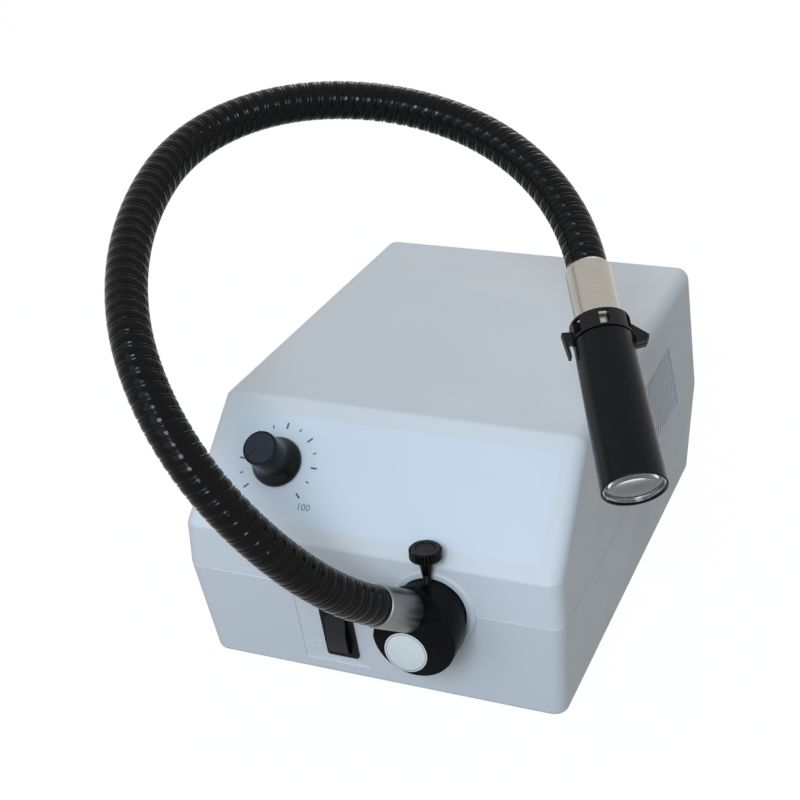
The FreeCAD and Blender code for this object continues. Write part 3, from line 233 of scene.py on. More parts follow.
footRubber = moulded("footRubber", tone(30, 30, 32), patch=6, contrast=0.12, rough=(0.7, 0.82),
                     grain=0.4, depth=0.02, Specular_IOR_Level=0.3)
barrelAnodised = moulded("barrelAnodised", tone(26, 27, 30), patch=8, contrast=0.1, rough=(0.4, 0.5),
                         depth=0.006, Specular_IOR_Level=0.3)
fanPlastic = moulded("fanPlastic", tone(24, 25, 27), patch=12, contrast=0.1, rough=(0.38, 0.5),
                     grain=0.5, depth=0.01, Specular_IOR_Level=0.3)

# metals
zincSteel = moulded("zincSteel", tone(168, 170, 168), patch=3, contrast=0.08, rough=(0.24, 0.38),
                    grain=0.4, depth=0.006, Metallic=1.0)
pinNickel = moulded("pinNickel", tone(182, 180, 170), patch=3, contrast=0.06, rough=(0.2, 0.32),
                    grain=0.5, depth=0.004, Metallic=1.0)
castAluminium = moulded("castAluminium", tone(172, 174, 177), patch=8, contrast=0.06, rough=(0.36, 0.48),
                        grain=0.6, depth=0.012, Metallic=1.0)
turnedAluminium = moulded("turnedAluminium", tone(150, 152, 154), patch=5, contrast=0.1, rough=(0.3, 0.45),
                          grain=0.4, depth=0.01, Metallic=1.0)
nutBrass = moulded("nutBrass", tone(190, 160, 96), patch=3, contrast=0.08, rough=(0.24, 0.38),
                   depth=0.006, Metallic=1.0)

# electrical pieces
boardGreen = moulded("boardGreen", tone(38, 92, 58), patch=9, contrast=0.12, rough=(0.3, 0.42),
                     grain=1.4, depth=0.01)
coreFerrite = moulded("coreFerrite", tone(58, 57, 58), patch=5, contrast=0.1, rough=(0.6, 0.75),
                      grain=0.5, depth=0.03)
canSleeve = moulded("canSleeve", tone(32, 40, 66), patch=8, contrast=0.08, rough=(0.3, 0.4), depth=0.004)
emitterDome = moulded("emitterDome", tone(224, 208, 120), patch=4, contrast=0.05, rough=(0.1, 0.2),
                      depth=0.002, Coat_Weight=0.6, Coat_Roughness=0.05)
fibreEnd = moulded("fibreEnd", tone(150, 152, 146), patch=0.6, contrast=0.25, rough=(0.15, 0.3),
                   grain=0.12, depth=0.01, Coat_Weight=0.5, Coat_Roughness=0.05)


def wireSleeve(name, base):
    return moulded(name, base, patch=12, contrast=0.07, rough=(0.32, 0.46), grain=0.5, depth=0.006)


# in the three finishes below a pattern gives its noise's size, detail and sometimes roughness
polish = {"smears": (6, 3), "rough": (0.01, 0.05), "cast": (9, 2), "index": 1.5,
          "tints": ((0.93, 0.96, 0.99, 1), (0.97, 0.98, 1.0, 1))}


def lensGlass():
    finish = Finish("lensGlass")
    finish.rough(finish.spread(finish.noise(*polish["smears"]), *polish["rough"]))
    finish.colour(finish.mix(finish.noise(*polish["cast"]), *polish["tints"]))
    finish.set(Transmission_Weight=1.0, IOR=polish["index"])
    return finish.material


# the winding's colour darkens into the valley between turns and lightens on each crest: painted shade and a
# painted highlight
coil = {"bands": 500, "wander": 0.6, "valley": (120, 66, 34), "crest": (196, 122, 70),
        "patches": (2, 2), "rough": (0.25, 0.4), "depth": 0.12}


def windingCopper():
    finish = Finish("windingCopper")
    wave = finish.node("ShaderNodeTexWave", wave_type="BANDS", bands_direction="Z", wave_profile="SIN")
    wave.inputs["Scale"].default_value = coil["bands"]
    wave.inputs["Distortion"].default_value = coil["wander"]
    finish.link(finish.place, wave.inputs["Vector"])
    # painted shade in the valleys and a painted highlight on the crests, in step with the bands' bump
    valley, crest = (shaded(tone(*coil[part]), 1) for part in ("valley", "crest"))
    finish.colour(finish.mix(wave.outputs["Fac"], valley, crest))
    finish.rough(finish.spread(finish.noise(*coil["patches"]), *coil["rough"]))
    finish.bump(wave.outputs["Fac"], coil["depth"])
    finish.set(Metallic=1.0)
    return finish.material


sheath = {"crest": (5, 5, 6), "dust": (14, 14, 15), "dustPatches": (7, 4, 0.6), "dustShare": (0.1, 1),
          "patches": (3, 4, 0.6), "rough": (0.08, 0.15), "grain": (0.7, 3), "depth": 0.006,
          "specular": 0.11}


def neckVinyl():
    # glossy black on the crests, with a little dust held in the grooves
    finish = Finish("neckVinyl")
    groove = finish.node("ShaderNodeAttribute", attribute_name="groove").outputs["Fac"]
    dust = finish.node("ShaderNodeMath", operation="MULTIPLY")
    finish.link(groove, dust.inputs[0])
    finish.link(finish.spread(finish.noise(*sheath["dustPatches"]), *sheath["dustShare"]), dust.inputs[1])
    crest, dusty = (shaded(tone(*sheath[part]), 1) for part in ("crest", "dust"))
    finish.colour(finish.mix(dust.outputs[0], crest, dusty))
    finish.rough(finish.spread(finish.noise(*sheath["patches"]), *sheath["rough"]))
    finish.bump(finish.noise(*sheath["grain"]), sheath["depth"])
    finish.set(Specular_IOR_Level=sheath["specular"])
    return finish.material


glass = lensGlass()
copper = windingCopper()
vinyl = neckVinyl()
print("finishes made")


# where the pieces sit, in millimetres; a setback is how far the front leans back from its ridge
case = {"depth": 223.2, "height": 107.2, "parting": 47.0, "ridge": 67.0, "floorSetback": 10.3,
        "partingSetback": 1.0, "panelRun": 41.4}
dial = {"x": -43.9, "up": 30.2}
switch = {"x": -15.15, "up": 24.8}
nose = {"x": 28.0, "height": 47.5, "thumbForward": 3.9}
# lean and roll aim the neck's first span, and each span has its own bend and twist, all in degrees
neck = {"radius": 7.51, "start": 35.1, "lean": 38.6, "roll": 24.1, "span": 75.53,
        "bends": (45.8, 52.7, 33.0, 55.1, 59.3, 41.2), "twists": (48.8, -6.5, -28.6, -13.1, -5.3, 22.0)}
frontY = -case["depth"] / 2
panelSlope = math.atan2(case["height"] - case["ridge"], case["panelRun"])
facetTilt = math.atan2(case["floorSetback"] - case["partingSetback"], case["parting"])


def tilted(spot, angle):
    return Matrix.Translation(spot) @ Matrix.Rotation(angle, 4, "X")


def along(spot, ahead, side=None):
    # a place whose Z points ahead, and whose X points to the given side
    ahead = Vector(ahead).normalized()
    side = side or ahead.orthogonal().normalized()
    turn = Matrix((side, ahead.cross(side), ahead)).transposed().to_4x4()
    return Matrix.Translation(spot) @ turn


panelPlace = tilted((0, frontY, case["ridge"]), panelSlope)
facetPlace = tilted((0, frontY + case["floorSetback"], 0), math.pi / 2 + facetTilt)
nosePlace = tilted((nose["x"], frontY, nose["height"]), math.pi / 2)
dialPlace = panelPlace @ Matrix.Translation((dial["x"], dial["up"], 0))
switchPlace = facetPlace @ Matrix.Translation((switch["x"], switch["up"], 0))
elbow = Vector((nose["x"], frontY - nose["thumbForward"], nose["height"]))
thumbPlace = Matrix.Translation(elbow)


def neckRoute():
    # each span is one arc: where it starts, which way it runs and bends, and how far its ribs have turned
    lean = math.radians(neck["lean"])
    roll = math.radians(neck["roll"])
    ahead = Vector((-math.sin(lean) * math.sin(roll), -math.cos(lean), math.sin(lean) * math.cos(roll)))
    point = elbow + ahead * neck["start"]
    inward = ahead.cross(zAxis).normalized().cross(ahead)
    turned = 0.0
    spans = []
    for bend, twist in zip(neck["bends"], neck["twists"]):
        twist = math.radians(twist)
        angle = math.radians(bend)
        inward = inward * math.cos(twist) + ahead.cross(inward) * math.sin(twist)
        turned += twist
        radius = neck["span"] / angle
        spans.append({"point": point, "ahead": ahead, "inward": inward, "axis": ahead.cross(inward),
                      "radius": radius, "angle": angle, "centre": point + inward * radius,
                      "turned": turned, "twist": twist})
        point = point + ahead * (radius * math.sin(angle)) + inward * (radius * (1 - math.cos(angle)))
        ahead, inward = (ahead * math.cos(angle) + inward * math.sin(angle),
                         inward * math.cos(angle) - ahead * math.sin(angle))
    return spans, point, ahead


spans, tip, tipAhead = neckRoute()
firstAhead = spans[0]["ahead"]
basePlace = along(elbow, firstAhead)
tipPlace = along(tip, tipAhead, zAxis.cross(tipAhead).normalized())
ferruleSteel = brushed("ferruleSteel", tone(122, 125, 125), firstAhead, rough=(0.34, 0.48))
tipSteel = brushed("tipSteel", tone(170, 166, 158), tipAhead, rough=(0.2, 0.32), contrast=0.16)
ringSteel = brushed("ringSteel", tone(188, 190, 190), tipAhead, rough=(0.16, 0.26))


# points of a new or a copied mesh closer than these are merged, and faces under "flat" degrees are joined
weld = {"fresh": 0.0001, "copied": 0.001, "flat": 0.4}
latheSharp = 40  # an edge of a turned piece is sharp past this many degrees


def turnedShape(profile, steps=96):
    # a profile of (radius, height) points spun once round Z; a piece's "around" gives its steps
    shape = bmesh.new()
    points = [shape.verts.new((radius, 0, height)) for radius, height in profile]
    lines = [shape.edges.new(pair) for pair in zip(points, points[1:])]
    bmesh.ops.spin(shape, geom=points + lines, cent=(0, 0, 0), axis=(0, 0, 1), angle=2 * math.pi, steps=steps,
                   use_merge=True)
    bmesh.ops.remove_doubles(shape, verts=shape.verts, dist=weld["fresh"])
    bmesh.ops.recalc_face_normals(shape, faces=shape.faces)
    return shape


def soften(shape, width, segments=3, sharper=35, only=None):
    # rounds every edge that turns by more than "sharper" degrees
    edges = [edge for edge in shape.edges if len(edge.link_faces) == 2
             and edge.calc_face_angle(0) > math.radians(sharper) and (only is None or only(edge))]
    bmesh.ops.bevel(shape, geom=edges, offset=width, offset_type="OFFSET", segments=segments, profile=0.5,
                    affect="EDGES", clamp_overlap=True, material=-1)


def copyOf(node):
    # a welded copy of a node, in millimetres
    shape = bmesh.new()
    shape.from_mesh(nodes[node].data)
    bmesh.ops.transform(shape, matrix=metre.inverted(), verts=shape.verts)
    bmesh.ops.remove_doubles(shape, verts=shape.verts, dist=weld["copied"])
    bmesh.ops.dissolve_limit(shape, angle_limit=math.radians(weld["flat"]), verts=shape.verts,
                             edges=shape.edges)
    return shape


def addPiece(shape, name, finish, body, place=None, stands=(), sharp=32, weighted=False):
    # edges past "sharp" degrees stay sharp, and 0 leaves the shading as it is
    bmesh.ops.transform(shape, matrix=metre @ (place or Matrix()), verts=shape.verts)
    mesh = bpy.data.meshes.new(name)
    shape.to_mesh(mesh)
    shape.free()
    mesh.materials.append(finish)
    if sharp:
        mesh.shade_smooth()
        mesh.set_sharp_from_angle(angle=math.radians(sharp))
    piece = bpy.data.objects.new(name, mesh)
    scene.collection.objects.link(piece)
    if weighted:
        normals = piece.modifiers.new("normals", "WEIGHTED_NORMAL")
        normals.keep_sharp = True
        normals.mode = "FACE_AREA_WITH_ANGLE"
    if body:
        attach(piece, body)
    if stands:
        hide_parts(*stands)
    return piece


def addCopy(node, name, finish, body, width=0.0, segments=2, sharper=35):
    shape = copyOf(node)
    if width:
        soften(shape, width, segments, sharper)
    addPiece(shape, name, finish, body, stands=(node,), weighted=True)


def dress(node, finish):
    mesh = nodes[node].data
    mesh.materials.clear()
    mesh.materials.append(finish)


addCopy("lower_shell", "case_bottom", casePlastic, "case")
addCopy("upper_shell", "case_top", casePlastic, "case")
addCopy("front_film", "panel_film", panelFilm, "case")

# the pads reach up into recesses of the floor
foot = {"radius": 9.0, "height": 3.0, "recess": 0.8, "x": 60.0, "y": 86.0, "chamfer": 1.2,
        "dimple": 2.2, "dimpleDepth": 0.9, "dimpleFlare": 0.6, "edge": 0.3, "around": 64}


def mirrored(shape, axis):
    bmesh.ops.mirror(shape, geom=shape.verts[:] + shape.edges[:] + shape.faces[:], axis=axis, merge_dist=-1)


def addFeet():
    base = -foot["height"]
    shape = turnedShape([
        (0, base + foot["dimpleDepth"]), (foot["dimple"], base + foot["dimpleDepth"]),
        (foot["dimple"] + foot["dimpleFlare"], base), (foot["radius"] - foot["chamfer"], base),
        (foot["radius"], base + foot["chamfer"]), (foot["radius"], foot["recess"]), (0, foot["recess"])],
        foot["around"])
    soften(shape, foot["edge"], segments=2)
    bmesh.ops.translate(shape, verts=shape.verts, vec=(foot["x"], foot["y"], 0))
    mirrored(shape, "X")
    mirrored(shape, "Y")
    bmesh.ops.recalc_face_normals(shape, faces=shape.faces)
    addPiece(shape, "foot_pads", footRubber, "case", stands=("rubber_feet",))


addFeet()
print("case made")


# long and short give each tick's near and far radius about the dial's centre; first and step are degrees
ticks = {"count": 13, "first": 225.0, "step": -22.5, "long": (14.3, 16.9), "short": (14.9, 16.3),
         "longWidth": 0.8, "shortWidth": 0.6, "lastOut": 1.2, "lift": 0.03,
         "numeralSize": 4.0, "numeralUp": -16.2, "numeralSide": 15.4}


def addTicks():
    shape = bmesh.new()
    for number in range(ticks["count"]):
        isLong = number % 2 == 0
        near, far = ticks["long"] if isLong else ticks["short"]
        out = ticks["lastOut"] if number + 1 == ticks["count"] else 0
        turn = Matrix.Rotation(math.radians(ticks["first"] + ticks["step"] * number), 4, "Z")
        width = ticks["longWidth"] if isLong else ticks["shortWidth"]
        size = Matrix.Diagonal((far - near, width, ticks["lift"], 1))
        middle = Matrix.Translation(((near + far) / 2 + out, 0, 0))
        bmesh.ops.create_cube(shape, size=1.0, matrix=turn @ middle @ size)
    addPiece(shape, "dial_ticks", dialInk, "case", dialPlace, sharp=0)


def addText(words, size, name, finish, body, place, lift):
    curve = bpy.data.curves.new(name, "FONT")
    curve.body = words
    curve.size = size
    curve.align_x = "CENTER"
    curve.align_y = "CENTER"
    curve.extrude = lift
    holder = bpy.data.objects.new(name + "_words", curve)
    scene.collection.objects.link(holder)
    flat = bpy.data.meshes.new_from_object(holder)
    shape = bmesh.new()
    shape.from_mesh(flat)
    bpy.data.objects.remove(holder)
    bpy.data.meshes.remove(flat)
    bpy.data.curves.remove(curve)
    bmesh.ops.remove_doubles(shape, verts=shape.verts, dist=weld["fresh"])
    addPiece(shape, name, finish, body, place, sharp=0)


addTicks()
for words, side in (("0", -1), ("100", 1)):
    addText(words, ticks["numeralSize"], "dial_" + words, dialNumerals, "case",
            dialPlace @ Matrix.Translation((side * ticks["numeralSide"], ticks["numeralUp"], 0)),
            ticks["lift"] / 2)

knob = {"lift": 0.8, "skirt": 10.2, "skirtHeight": 3.0, "skirtWall": 1.2, "skirtRound": 0.8,
        "flareHeight": 6.6, "flarePower": 2.2, "flareSteps": 8, "barrel": 7.0, "height": 18.5, "edge": 0.35,
        "cap": 0.8, "capRim": 0.9, "bore": 3.05, "boreTop": 13.6, "soft": 0.18, "capSoft": 0.12,
        "around": 128, "sharp": 50}


def addKnob():
    low = knob["lift"]
    skirt = low + knob["skirtHeight"]
    top = low + knob["height"]
    barrel = knob["barrel"]
    inside = knob["skirt"] - knob["skirtWall"]
    capRadius = barrel - knob["capRim"]
    outer = knob["skirt"] - knob["skirtRound"]
    profile = [(knob["bore"], skirt), (inside, skirt - knob["skirtWall"]), (inside, low),
               (knob["skirt"], low), (knob["skirt"], low + knob["skirtHeight"] / 2)]
    for number in range(knob["flareSteps"] + 1):
        up = number / knob["flareSteps"]
        profile.append((barrel + (outer - barrel) * (1 - up) ** knob["flarePower"],
                        skirt + knob["flareHeight"] * up))
    profile += [(barrel, top - knob["edge"]), (barrel - knob["edge"], top), (capRadius, top),
                (capRadius, top - knob["cap"]), (0, top - knob["cap"]), (0, knob["boreTop"]),
                (knob["bore"], knob["boreTop"]), (knob["bore"], skirt)]
    shape = turnedShape(profile, knob["around"])
    soften(shape, knob["soft"], segments=2, sharper=latheSharp)
    addPiece(shape, "knob_body", knobBlack, "dimmer_knob", dialPlace, ("knob",),
             sharp=knob["sharp"])
    addCopy("knob_cap", "knob_top", knobCap, "dimmer_knob", knob["capSoft"])


addKnob()
print("dial made")


switchEdge = {"bezel": 0.35, "rocker": 0.45, "segments": 3}
marks = {"size": 4.6, "x": -10.9, "on": 9.6, "off": -10.0, "depth": -0.6, "lift": 0.18}
addCopy("rocker_bezel", "switch_bezel", switchBlack, "case", switchEdge["bezel"],
        switchEdge["segments"])
addCopy("rocker", "switch_rocker", rockerBlack, "power_rocker", switchEdge["rocker"],
        switchEdge["segments"])
for words, up in (("I", marks["on"]), ("O", marks["off"])):
    addText(words, marks["size"], "switch_mark_" + words, casePlastic, "case",
            switchPlace @ Matrix.Translation((marks["x"], up, marks["depth"])), marks["lift"])
print("switch made")


# heights run forward of the case's ridge along the outlet's axis
bezel = {"bore": 13.8, "spigot": 15.0, "radius": 17.3, "frontRadius": 16.1, "front": 0.5, "flare": 1.5,
         "back": -9.0, "ringBack": -5.2, "soft": 0.35, "around": 128, "sharper": 25}
outlet = {"radius": 13.5, "front": 7.6, "edge": 0.8, "back": -26.0, "bore": 10.08, "stop": 7.6,
          "stopFront": -22.0, "flange": 19.0, "flangeBack": -12.0, "flangeFront": -9.0, "soft": 0.25,
          "around": 128}


def addOutlet():
    ring = turnedShape([
        (bezel["bore"], bezel["back"]), (bezel["spigot"], bezel["back"]),
        (bezel["spigot"], bezel["ringBack"]), (bezel["radius"], bezel["ringBack"]),
        (bezel["radius"], bezel["front"] - bezel["flare"]),
        (bezel["frontRadius"], bezel["front"]), (bezel["bore"], bezel["front"]),
        (bezel["bore"], bezel["back"])], bezel["around"])
    soften(ring, bezel["soft"], sharper=bezel["sharper"])
    addPiece(ring, "outlet_ring", bezelPlastic, "case", nosePlace, ("nose_bezel",),
             sharp=latheSharp)
    radius = outlet["radius"]
    body = turnedShape([
        (outlet["stop"], outlet["back"]), (radius, outlet["back"]), (radius, outlet["flangeBack"]),
        (outlet["flange"], outlet["flangeBack"]), (outlet["flange"], outlet["flangeFront"]),
        (radius, outlet["flangeFront"]), (radius, outlet["front"] - outlet["edge"]),
        (radius - outlet["edge"], outlet["front"]), (outlet["bore"], outlet["front"]),
        (outlet["bore"], outlet["stopFront"]), (outlet["stop"], outlet["stopFront"]),
        (outlet["stop"], outlet["back"])], outlet["around"])
    soften(body, outlet["soft"], segments=2, sharper=latheSharp)
    addPiece(body, "outlet_tube", outletBlack, "case", nosePlace, ("nosepiece",),
             sharp=latheSharp)


# heights run up from the outlet's axis
thumb = {"radius": 6.2, "neck": 2.7, "low": 24.0, "full": 25.8, "top": 29.7, "crown": 0.6, "collarFoot": 18.3,
         "collar": 1.85, "collarSink": 0.4, "collarAround": 64, "knurls": 28, "knurlSides": 4, "knurl": 0.45,
         "dish": 0.72, "dishDepth": 0.3, "dishFloor": 0.95, "sharp": 28}
shank = {"radius": 1.6, "foot": 10.3, "thread": 0.7, "threadDepth": 0.2, "around": 40, "sharp": 20}


def grown(shape, cap, lift, share, keep=False):
    # draws a flat cap face out along Z and shrinks or widens it
    made = bmesh.ops.extrude_face_region(shape, geom=[cap])["geom"]
    points = [item for item in made if isinstance(item, bmesh.types.BMVert)]
    bmesh.ops.translate(shape, verts=points, vec=(0, 0, lift))
    bmesh.ops.scale(shape, verts=points, vec=(share, share, 1))
    if cap.is_valid and not keep:
        bmesh.ops.delete(shape, geom=[cap], context="FACES_ONLY")
    return [item for item in made if isinstance(item, bmesh.types.BMFace)][0]


def addThumbHead():
    shape = bmesh.new()
    radius = thumb["radius"]
    bmesh.ops.create_circle(shape, cap_ends=True, segments=thumb["knurls"] * thumb["knurlSides"],
                            radius=radius, matrix=Matrix.Translation((0, 0, thumb["low"])))
    valley = 1 - thumb["knurl"] / radius
    for number, vertex in enumerate(shape.verts):
        if number % thumb["knurlSides"] == 0:
            vertex.co.x *= valley
            vertex.co.y *= valley
    narrow = thumb["neck"] / radius
    bottom = shape.faces[:][0]
    bmesh.ops.scale(shape, verts=shape.verts, vec=(narrow, narrow, 1))
    cap = grown(shape, bottom, thumb["full"] - thumb["low"], 1 / narrow, keep=True)
    cap = grown(shape, cap, thumb["top"] - thumb["crown"] - thumb["full"], 1)
    cap = grown(shape, cap, thumb["crown"], (radius - thumb["crown"]) / radius)
    cap = grown(shape, cap, 0, thumb["dish"])
    cap = grown(shape, cap, -thumb["dishDepth"], thumb["dishFloor"])
    bmesh.ops.recalc_face_normals(shape, faces=shape.faces)
    addPiece(shape, "thumb_head", screwBlack, "thumbscrew", thumbPlace, ("thumbscrew_head",),
             sharp=thumb["sharp"])
    collarTop = thumb["low"] + thumb["collarSink"]
    collar = turnedShape([(0, thumb["collarFoot"]), (thumb["collar"], thumb["collarFoot"]),
                          (thumb["neck"], thumb["low"]), (thumb["neck"], collarTop), (0, collarTop)],
                         thumb["collarAround"])
    addPiece(collar, "thumb_collar", screwBlack, "thumbscrew", thumbPlace,
             sharp=thumb["sharp"])


def addThumbShank():
    # the shank ends inside the head
    root = shank["radius"] - shank["threadDepth"]
    profile = [(0, shank["foot"])]
    for number in range(int((thumb["full"] - shank["foot"]) / shank["thread"])):
        height = shank["foot"] + number * shank["thread"]
        profile += [(root, height), (shank["radius"], height + shank["thread"] / 2)]
    profile += [(root, thumb["full"]), (0, thumb["full"])]
    addPiece(turnedShape(profile, shank["around"]), "thumb_shank", screwBlack, "thumbscrew",
             thumbPlace, ("thumbscrew_shank",), sharp=shank["sharp"])


addOutlet()
addThumbHead()
addThumbShank()
print("outlet made")


plug = {"radius": 16.5, "back": 8.2, "front": 20.1, "edge": 0.8, "edgeSteps": 4, "sharper": 30,
        "facet": 15.6, "around": 128}
label = {"x": -3.3, "up": -6.9, "radius": 8.5, "thick": 0.3, "sink": 0.15, "edge": 0.06,
         "ring": 7.7, "ringWidth": 0.25, "ringLift": 0.02}


def addPlug():
    shape = turnedShape([(0, plug["back"]), (plug["radius"], plug["back"]), (plug["radius"], plug["front"]),
                         (0, plug["front"])], plug["around"])
    bmesh.ops.transform(shape, matrix=nosePlace, verts=shape.verts)
    whole = shape.verts[:] + shape.edges[:] + shape.faces[:]
    cut = bmesh.ops.bisect_plane(shape, geom=whole, plane_co=elbow + firstAhead * plug["facet"],
                                 plane_no=firstAhead, clear_outer=True)["geom_cut"]
    bmesh.ops.holes_fill(shape, edges=[item for item in cut if isinstance(item, bmesh.types.BMEdge)])
    soften(shape, plug["edge"], plug["edgeSteps"], plug["sharper"])
    addPiece(shape, "plug_disc", plugBlack, "neck_1", None, ("guide_plug",),
             sharp=latheSharp)


def addLabel():
    spot = nosePlace @ Matrix.Translation((label["x"], label["up"], plug["front"] - label["sink"]))
    radius = label["radius"]
    face = label["thick"]
    paper = turnedShape([(0, 0), (radius, 0), (radius, face), (0, face)])
    soften(paper, label["edge"], segments=2)
    addPiece(paper, "round_label", labelPaper, "neck_1", spot, ("plug_label",), sharp=latheSharp)
    near = label["ring"]
    far = near + label["ringWidth"]
    high = face + label["ringLift"]
    border = turnedShape([(near, face), (near, high), (far, high), (far, face), (near, face)])
    addPiece(border, "label_border", labelRing, "neck_1", spot, sharp=0)


ferrule = {"radius": 8.0, "low": 13.0, "high": 35.1, "round": 0.6}


def addBaseFerrule():
    shape = turnedShape([(0, ferrule["low"]), (ferrule["radius"], ferrule["low"]),
                         (ferrule["radius"], ferrule["high"]), (0, ferrule["high"])])
    soften(shape, ferrule["round"])
    addPiece(shape, "neck_base", ferruleSteel, "neck_1", basePlace, ("base_ferrule",),
             sharp=latheSharp)


addPlug()
addLabel()
addBaseFerrule()
print("plug made")


# a turn of the neck's thread holds a wide band and a narrow one, with a deep and a shallow groove
# between them; each entry gives a share of the turn, a depth and how much deeper it is inside a bend;
# an end tucks into its ferrule, and two skins meet at a share of a span's arc
rib = {"pitch": 4.75, "rings": 20, "around": 48, "deepest": 0.62, "tuck": 1.2, "meet": 0.5,
       "profile": ((0.0, 0.32, 0.3), (0.05, 0.32, 0.3), (0.12, 0.09, 0.1), (0.4, 0.0, 0.0),
                   (0.69, 0.09, 0.04), (0.75, 0.23, 0.2), (0.78, 0.23, 0.2), (0.84, 0.04, 0.0),
                   (0.93, 0.04, 0.0), (1.0, 0.32, 0.3))}


def eased(share):
    share = min(1.0, max(0.0, share))
    return share * share * (3 - 2 * share)


def ribDepth(turns, inner):
    # how far the skin lies below the crest, where inner is 1 inside the bend and 0 outside it
    place = turns % 1
    for (near, high, highIn), (far, low, lowIn) in zip(rib["profile"], rib["profile"][1:]):
        if place <= far:
            share = eased((place - near) / (far - near))
            return (high + highIn * inner) * (1 - share) + (low + lowIn * inner) * share
    return rib["profile"][-1][1]


def innerShare(number, share, winding):
    # the inner side swings over from span to span, half of each twist on either side of their joint
    before = spans[number]["twist"] / 2 if number > 0 else 0
    after = spans[number + 1]["twist"] / 2 if number + 1 < len(spans) else 0
    swing = -before * (1 - share) + after * share
    return (1 + math.cos(winding - swing)) / 2


def ribbed(points, number, layer):
    # pushes the tube's points in by the ribs, which wind round it as one thread
    span = spans[number]
    for point in points:
        spoke = point.co - span["centre"]
        angle = math.atan2(spoke.dot(span["ahead"]), -spoke.dot(span["inward"]))
        inward = span["inward"] * math.cos(angle) - span["ahead"] * math.sin(angle)
        middle = span["centre"] - inward * span["radius"]
        out = point.co - middle
        winding = math.atan2(out.dot(span["axis"]), out.dot(inward))
        length = number * neck["span"] + span["radius"] * angle
        turns = length / rib["pitch"] + (winding + span["turned"]) / (2 * math.pi)
        depth = ribDepth(turns, innerShare(number, angle / span["angle"], winding))
        point[layer] = min(1.0, depth / rib["deepest"])
        point.co = middle + out.normalized() * (neck["radius"] - depth)


def addNeckSkin(name, stretches):
    # stretches are (span, from, to), with from and to as shares of the span's arc
    shape = bmesh.new()
    layer = shape.verts.layers.float.new("groove")
    number, low, high = stretches[0]
    span = spans[number]
    turn = Matrix.Rotation(span["angle"] * low, 4, span["axis"])
    start = Matrix.Translation(span["centre"]) @ turn @ Matrix.Translation(-span["centre"])
    bmesh.ops.create_circle(shape, cap_ends=False, segments=rib["around"], radius=neck["radius"],
                            matrix=start @ along(span["point"], span["ahead"], span["inward"]))
    first = shape.edges[:]
    last = shape.verts[:] + first
    done = set()
    for number, low, high in stretches:
        span = spans[number]
        steps = round(neck["span"] * (high - low) / rib["pitch"] * rib["rings"])
        last = bmesh.ops.spin(shape, geom=last, cent=span["centre"], axis=span["axis"],
                              angle=span["angle"] * (high - low), steps=steps, use_merge=False)["geom_last"]
        fresh = [point for point in shape.verts if point not in done]
        ribbed(fresh, number, layer)
        done.update(fresh)
    lastEdges = [item for item in last if isinstance(item, bmesh.types.BMEdge)]
    atBase = stretches[0][1] == 0
    atTip = stretches[-1][2] == 1 and number + 1 == len(spans)
    for edges, tucks, ahead in ((first, atBase, -firstAhead), (lastEdges, atTip, tipAhead)):
        if tucks:
            made = bmesh.ops.extrude_edge_only(shape, edges=edges)["geom"]
            bmesh.ops.translate(shape, verts=[item for item in made if isinstance(item, bmesh.types.BMVert)],
                                vec=ahead * rib["tuck"])
            edges = [item for item in made if isinstance(item, bmesh.types.BMEdge) and item.is_boundary]
        cap = bmesh.ops.contextual_create(shape, geom=edges)["faces"]
        for edge in cap[0].edges:
            edge.smooth = False
    bmesh.ops.recalc_face_normals(shape, faces=shape.faces)
    for face in shape.faces:
        face.smooth = True
    return addPiece(shape, name, vinyl, None, sharp=0)


def addNeck():
    # the skins meet in the middle of the spans, so that each one lies over a single joint
    final = len(spans) - 1
    meet = rib["meet"]
    startSkin = addNeckSkin("neck_skin_1", [(0, 0, meet)])
    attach(startSkin, "neck_1")
    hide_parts("neck_span_1")
    for number in range(final):
        skin = addNeckSkin("neck_skin_" + str(number + 2), [(number, meet, 1), (number + 1, 0, meet)])
        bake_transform(skin)
        if number + 1 < final:
            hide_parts("neck_span_" + str(number + 2))
    endSkin = addNeckSkin("neck_skin_" + str(final + 2), [(final, meet, 1)])
    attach(endSkin, "neck_" + str(final + 1))
    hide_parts("neck_span_" + str(final + 1))


addNeck()
print("neck made")


# heights run along the tip's axis from the neck's end
tipFerrule = {"radius": 8.35, "length": 48.0, "round": 2.2, "roundSteps": 6}
headEdge = {"barrel": 0.12, "barrelSharper": 40, "clamp": 0.15, "ring": 0.1}
rearLens = {"radius": 10.15, "seat": 56.0, "edge": 4.0, "bulge": 1.6, "clear": 8.05, "backClear": 8.05}
frontLens = {"radius": 10.7, "seat": 87.4, "edge": 3.2, "bulge": 1.2, "clear": 10.15, "backClear": 9.35}
domeSteps = 8


def domeProfile(clear, bulge, height, way):
    # from the middle out to the rim, bulging the given way from the height
    sphere = (clear * clear + bulge * bulge) / (2 * bulge)
    points = []
    for number in range(domeSteps + 1):
        radius = clear * number / domeSteps
        points.append((radius, height + way * (math.sqrt(sphere ** 2 - radius ** 2) - sphere + bulge)))
    return points


def addLens(name, node, lens):
    front = lens["seat"] + lens["edge"]
    outer = domeProfile(lens["clear"], lens["bulge"], front, 1)
    inner = domeProfile(lens["backClear"], lens["bulge"], lens["seat"], -1)
    rim = [(lens["radius"], front), (lens["radius"], lens["seat"])]
    shape = turnedShape(outer + rim + inner[::-1])
    addPiece(shape, name, glass, "focus_head", tipPlace, (node,), sharp=latheSharp)


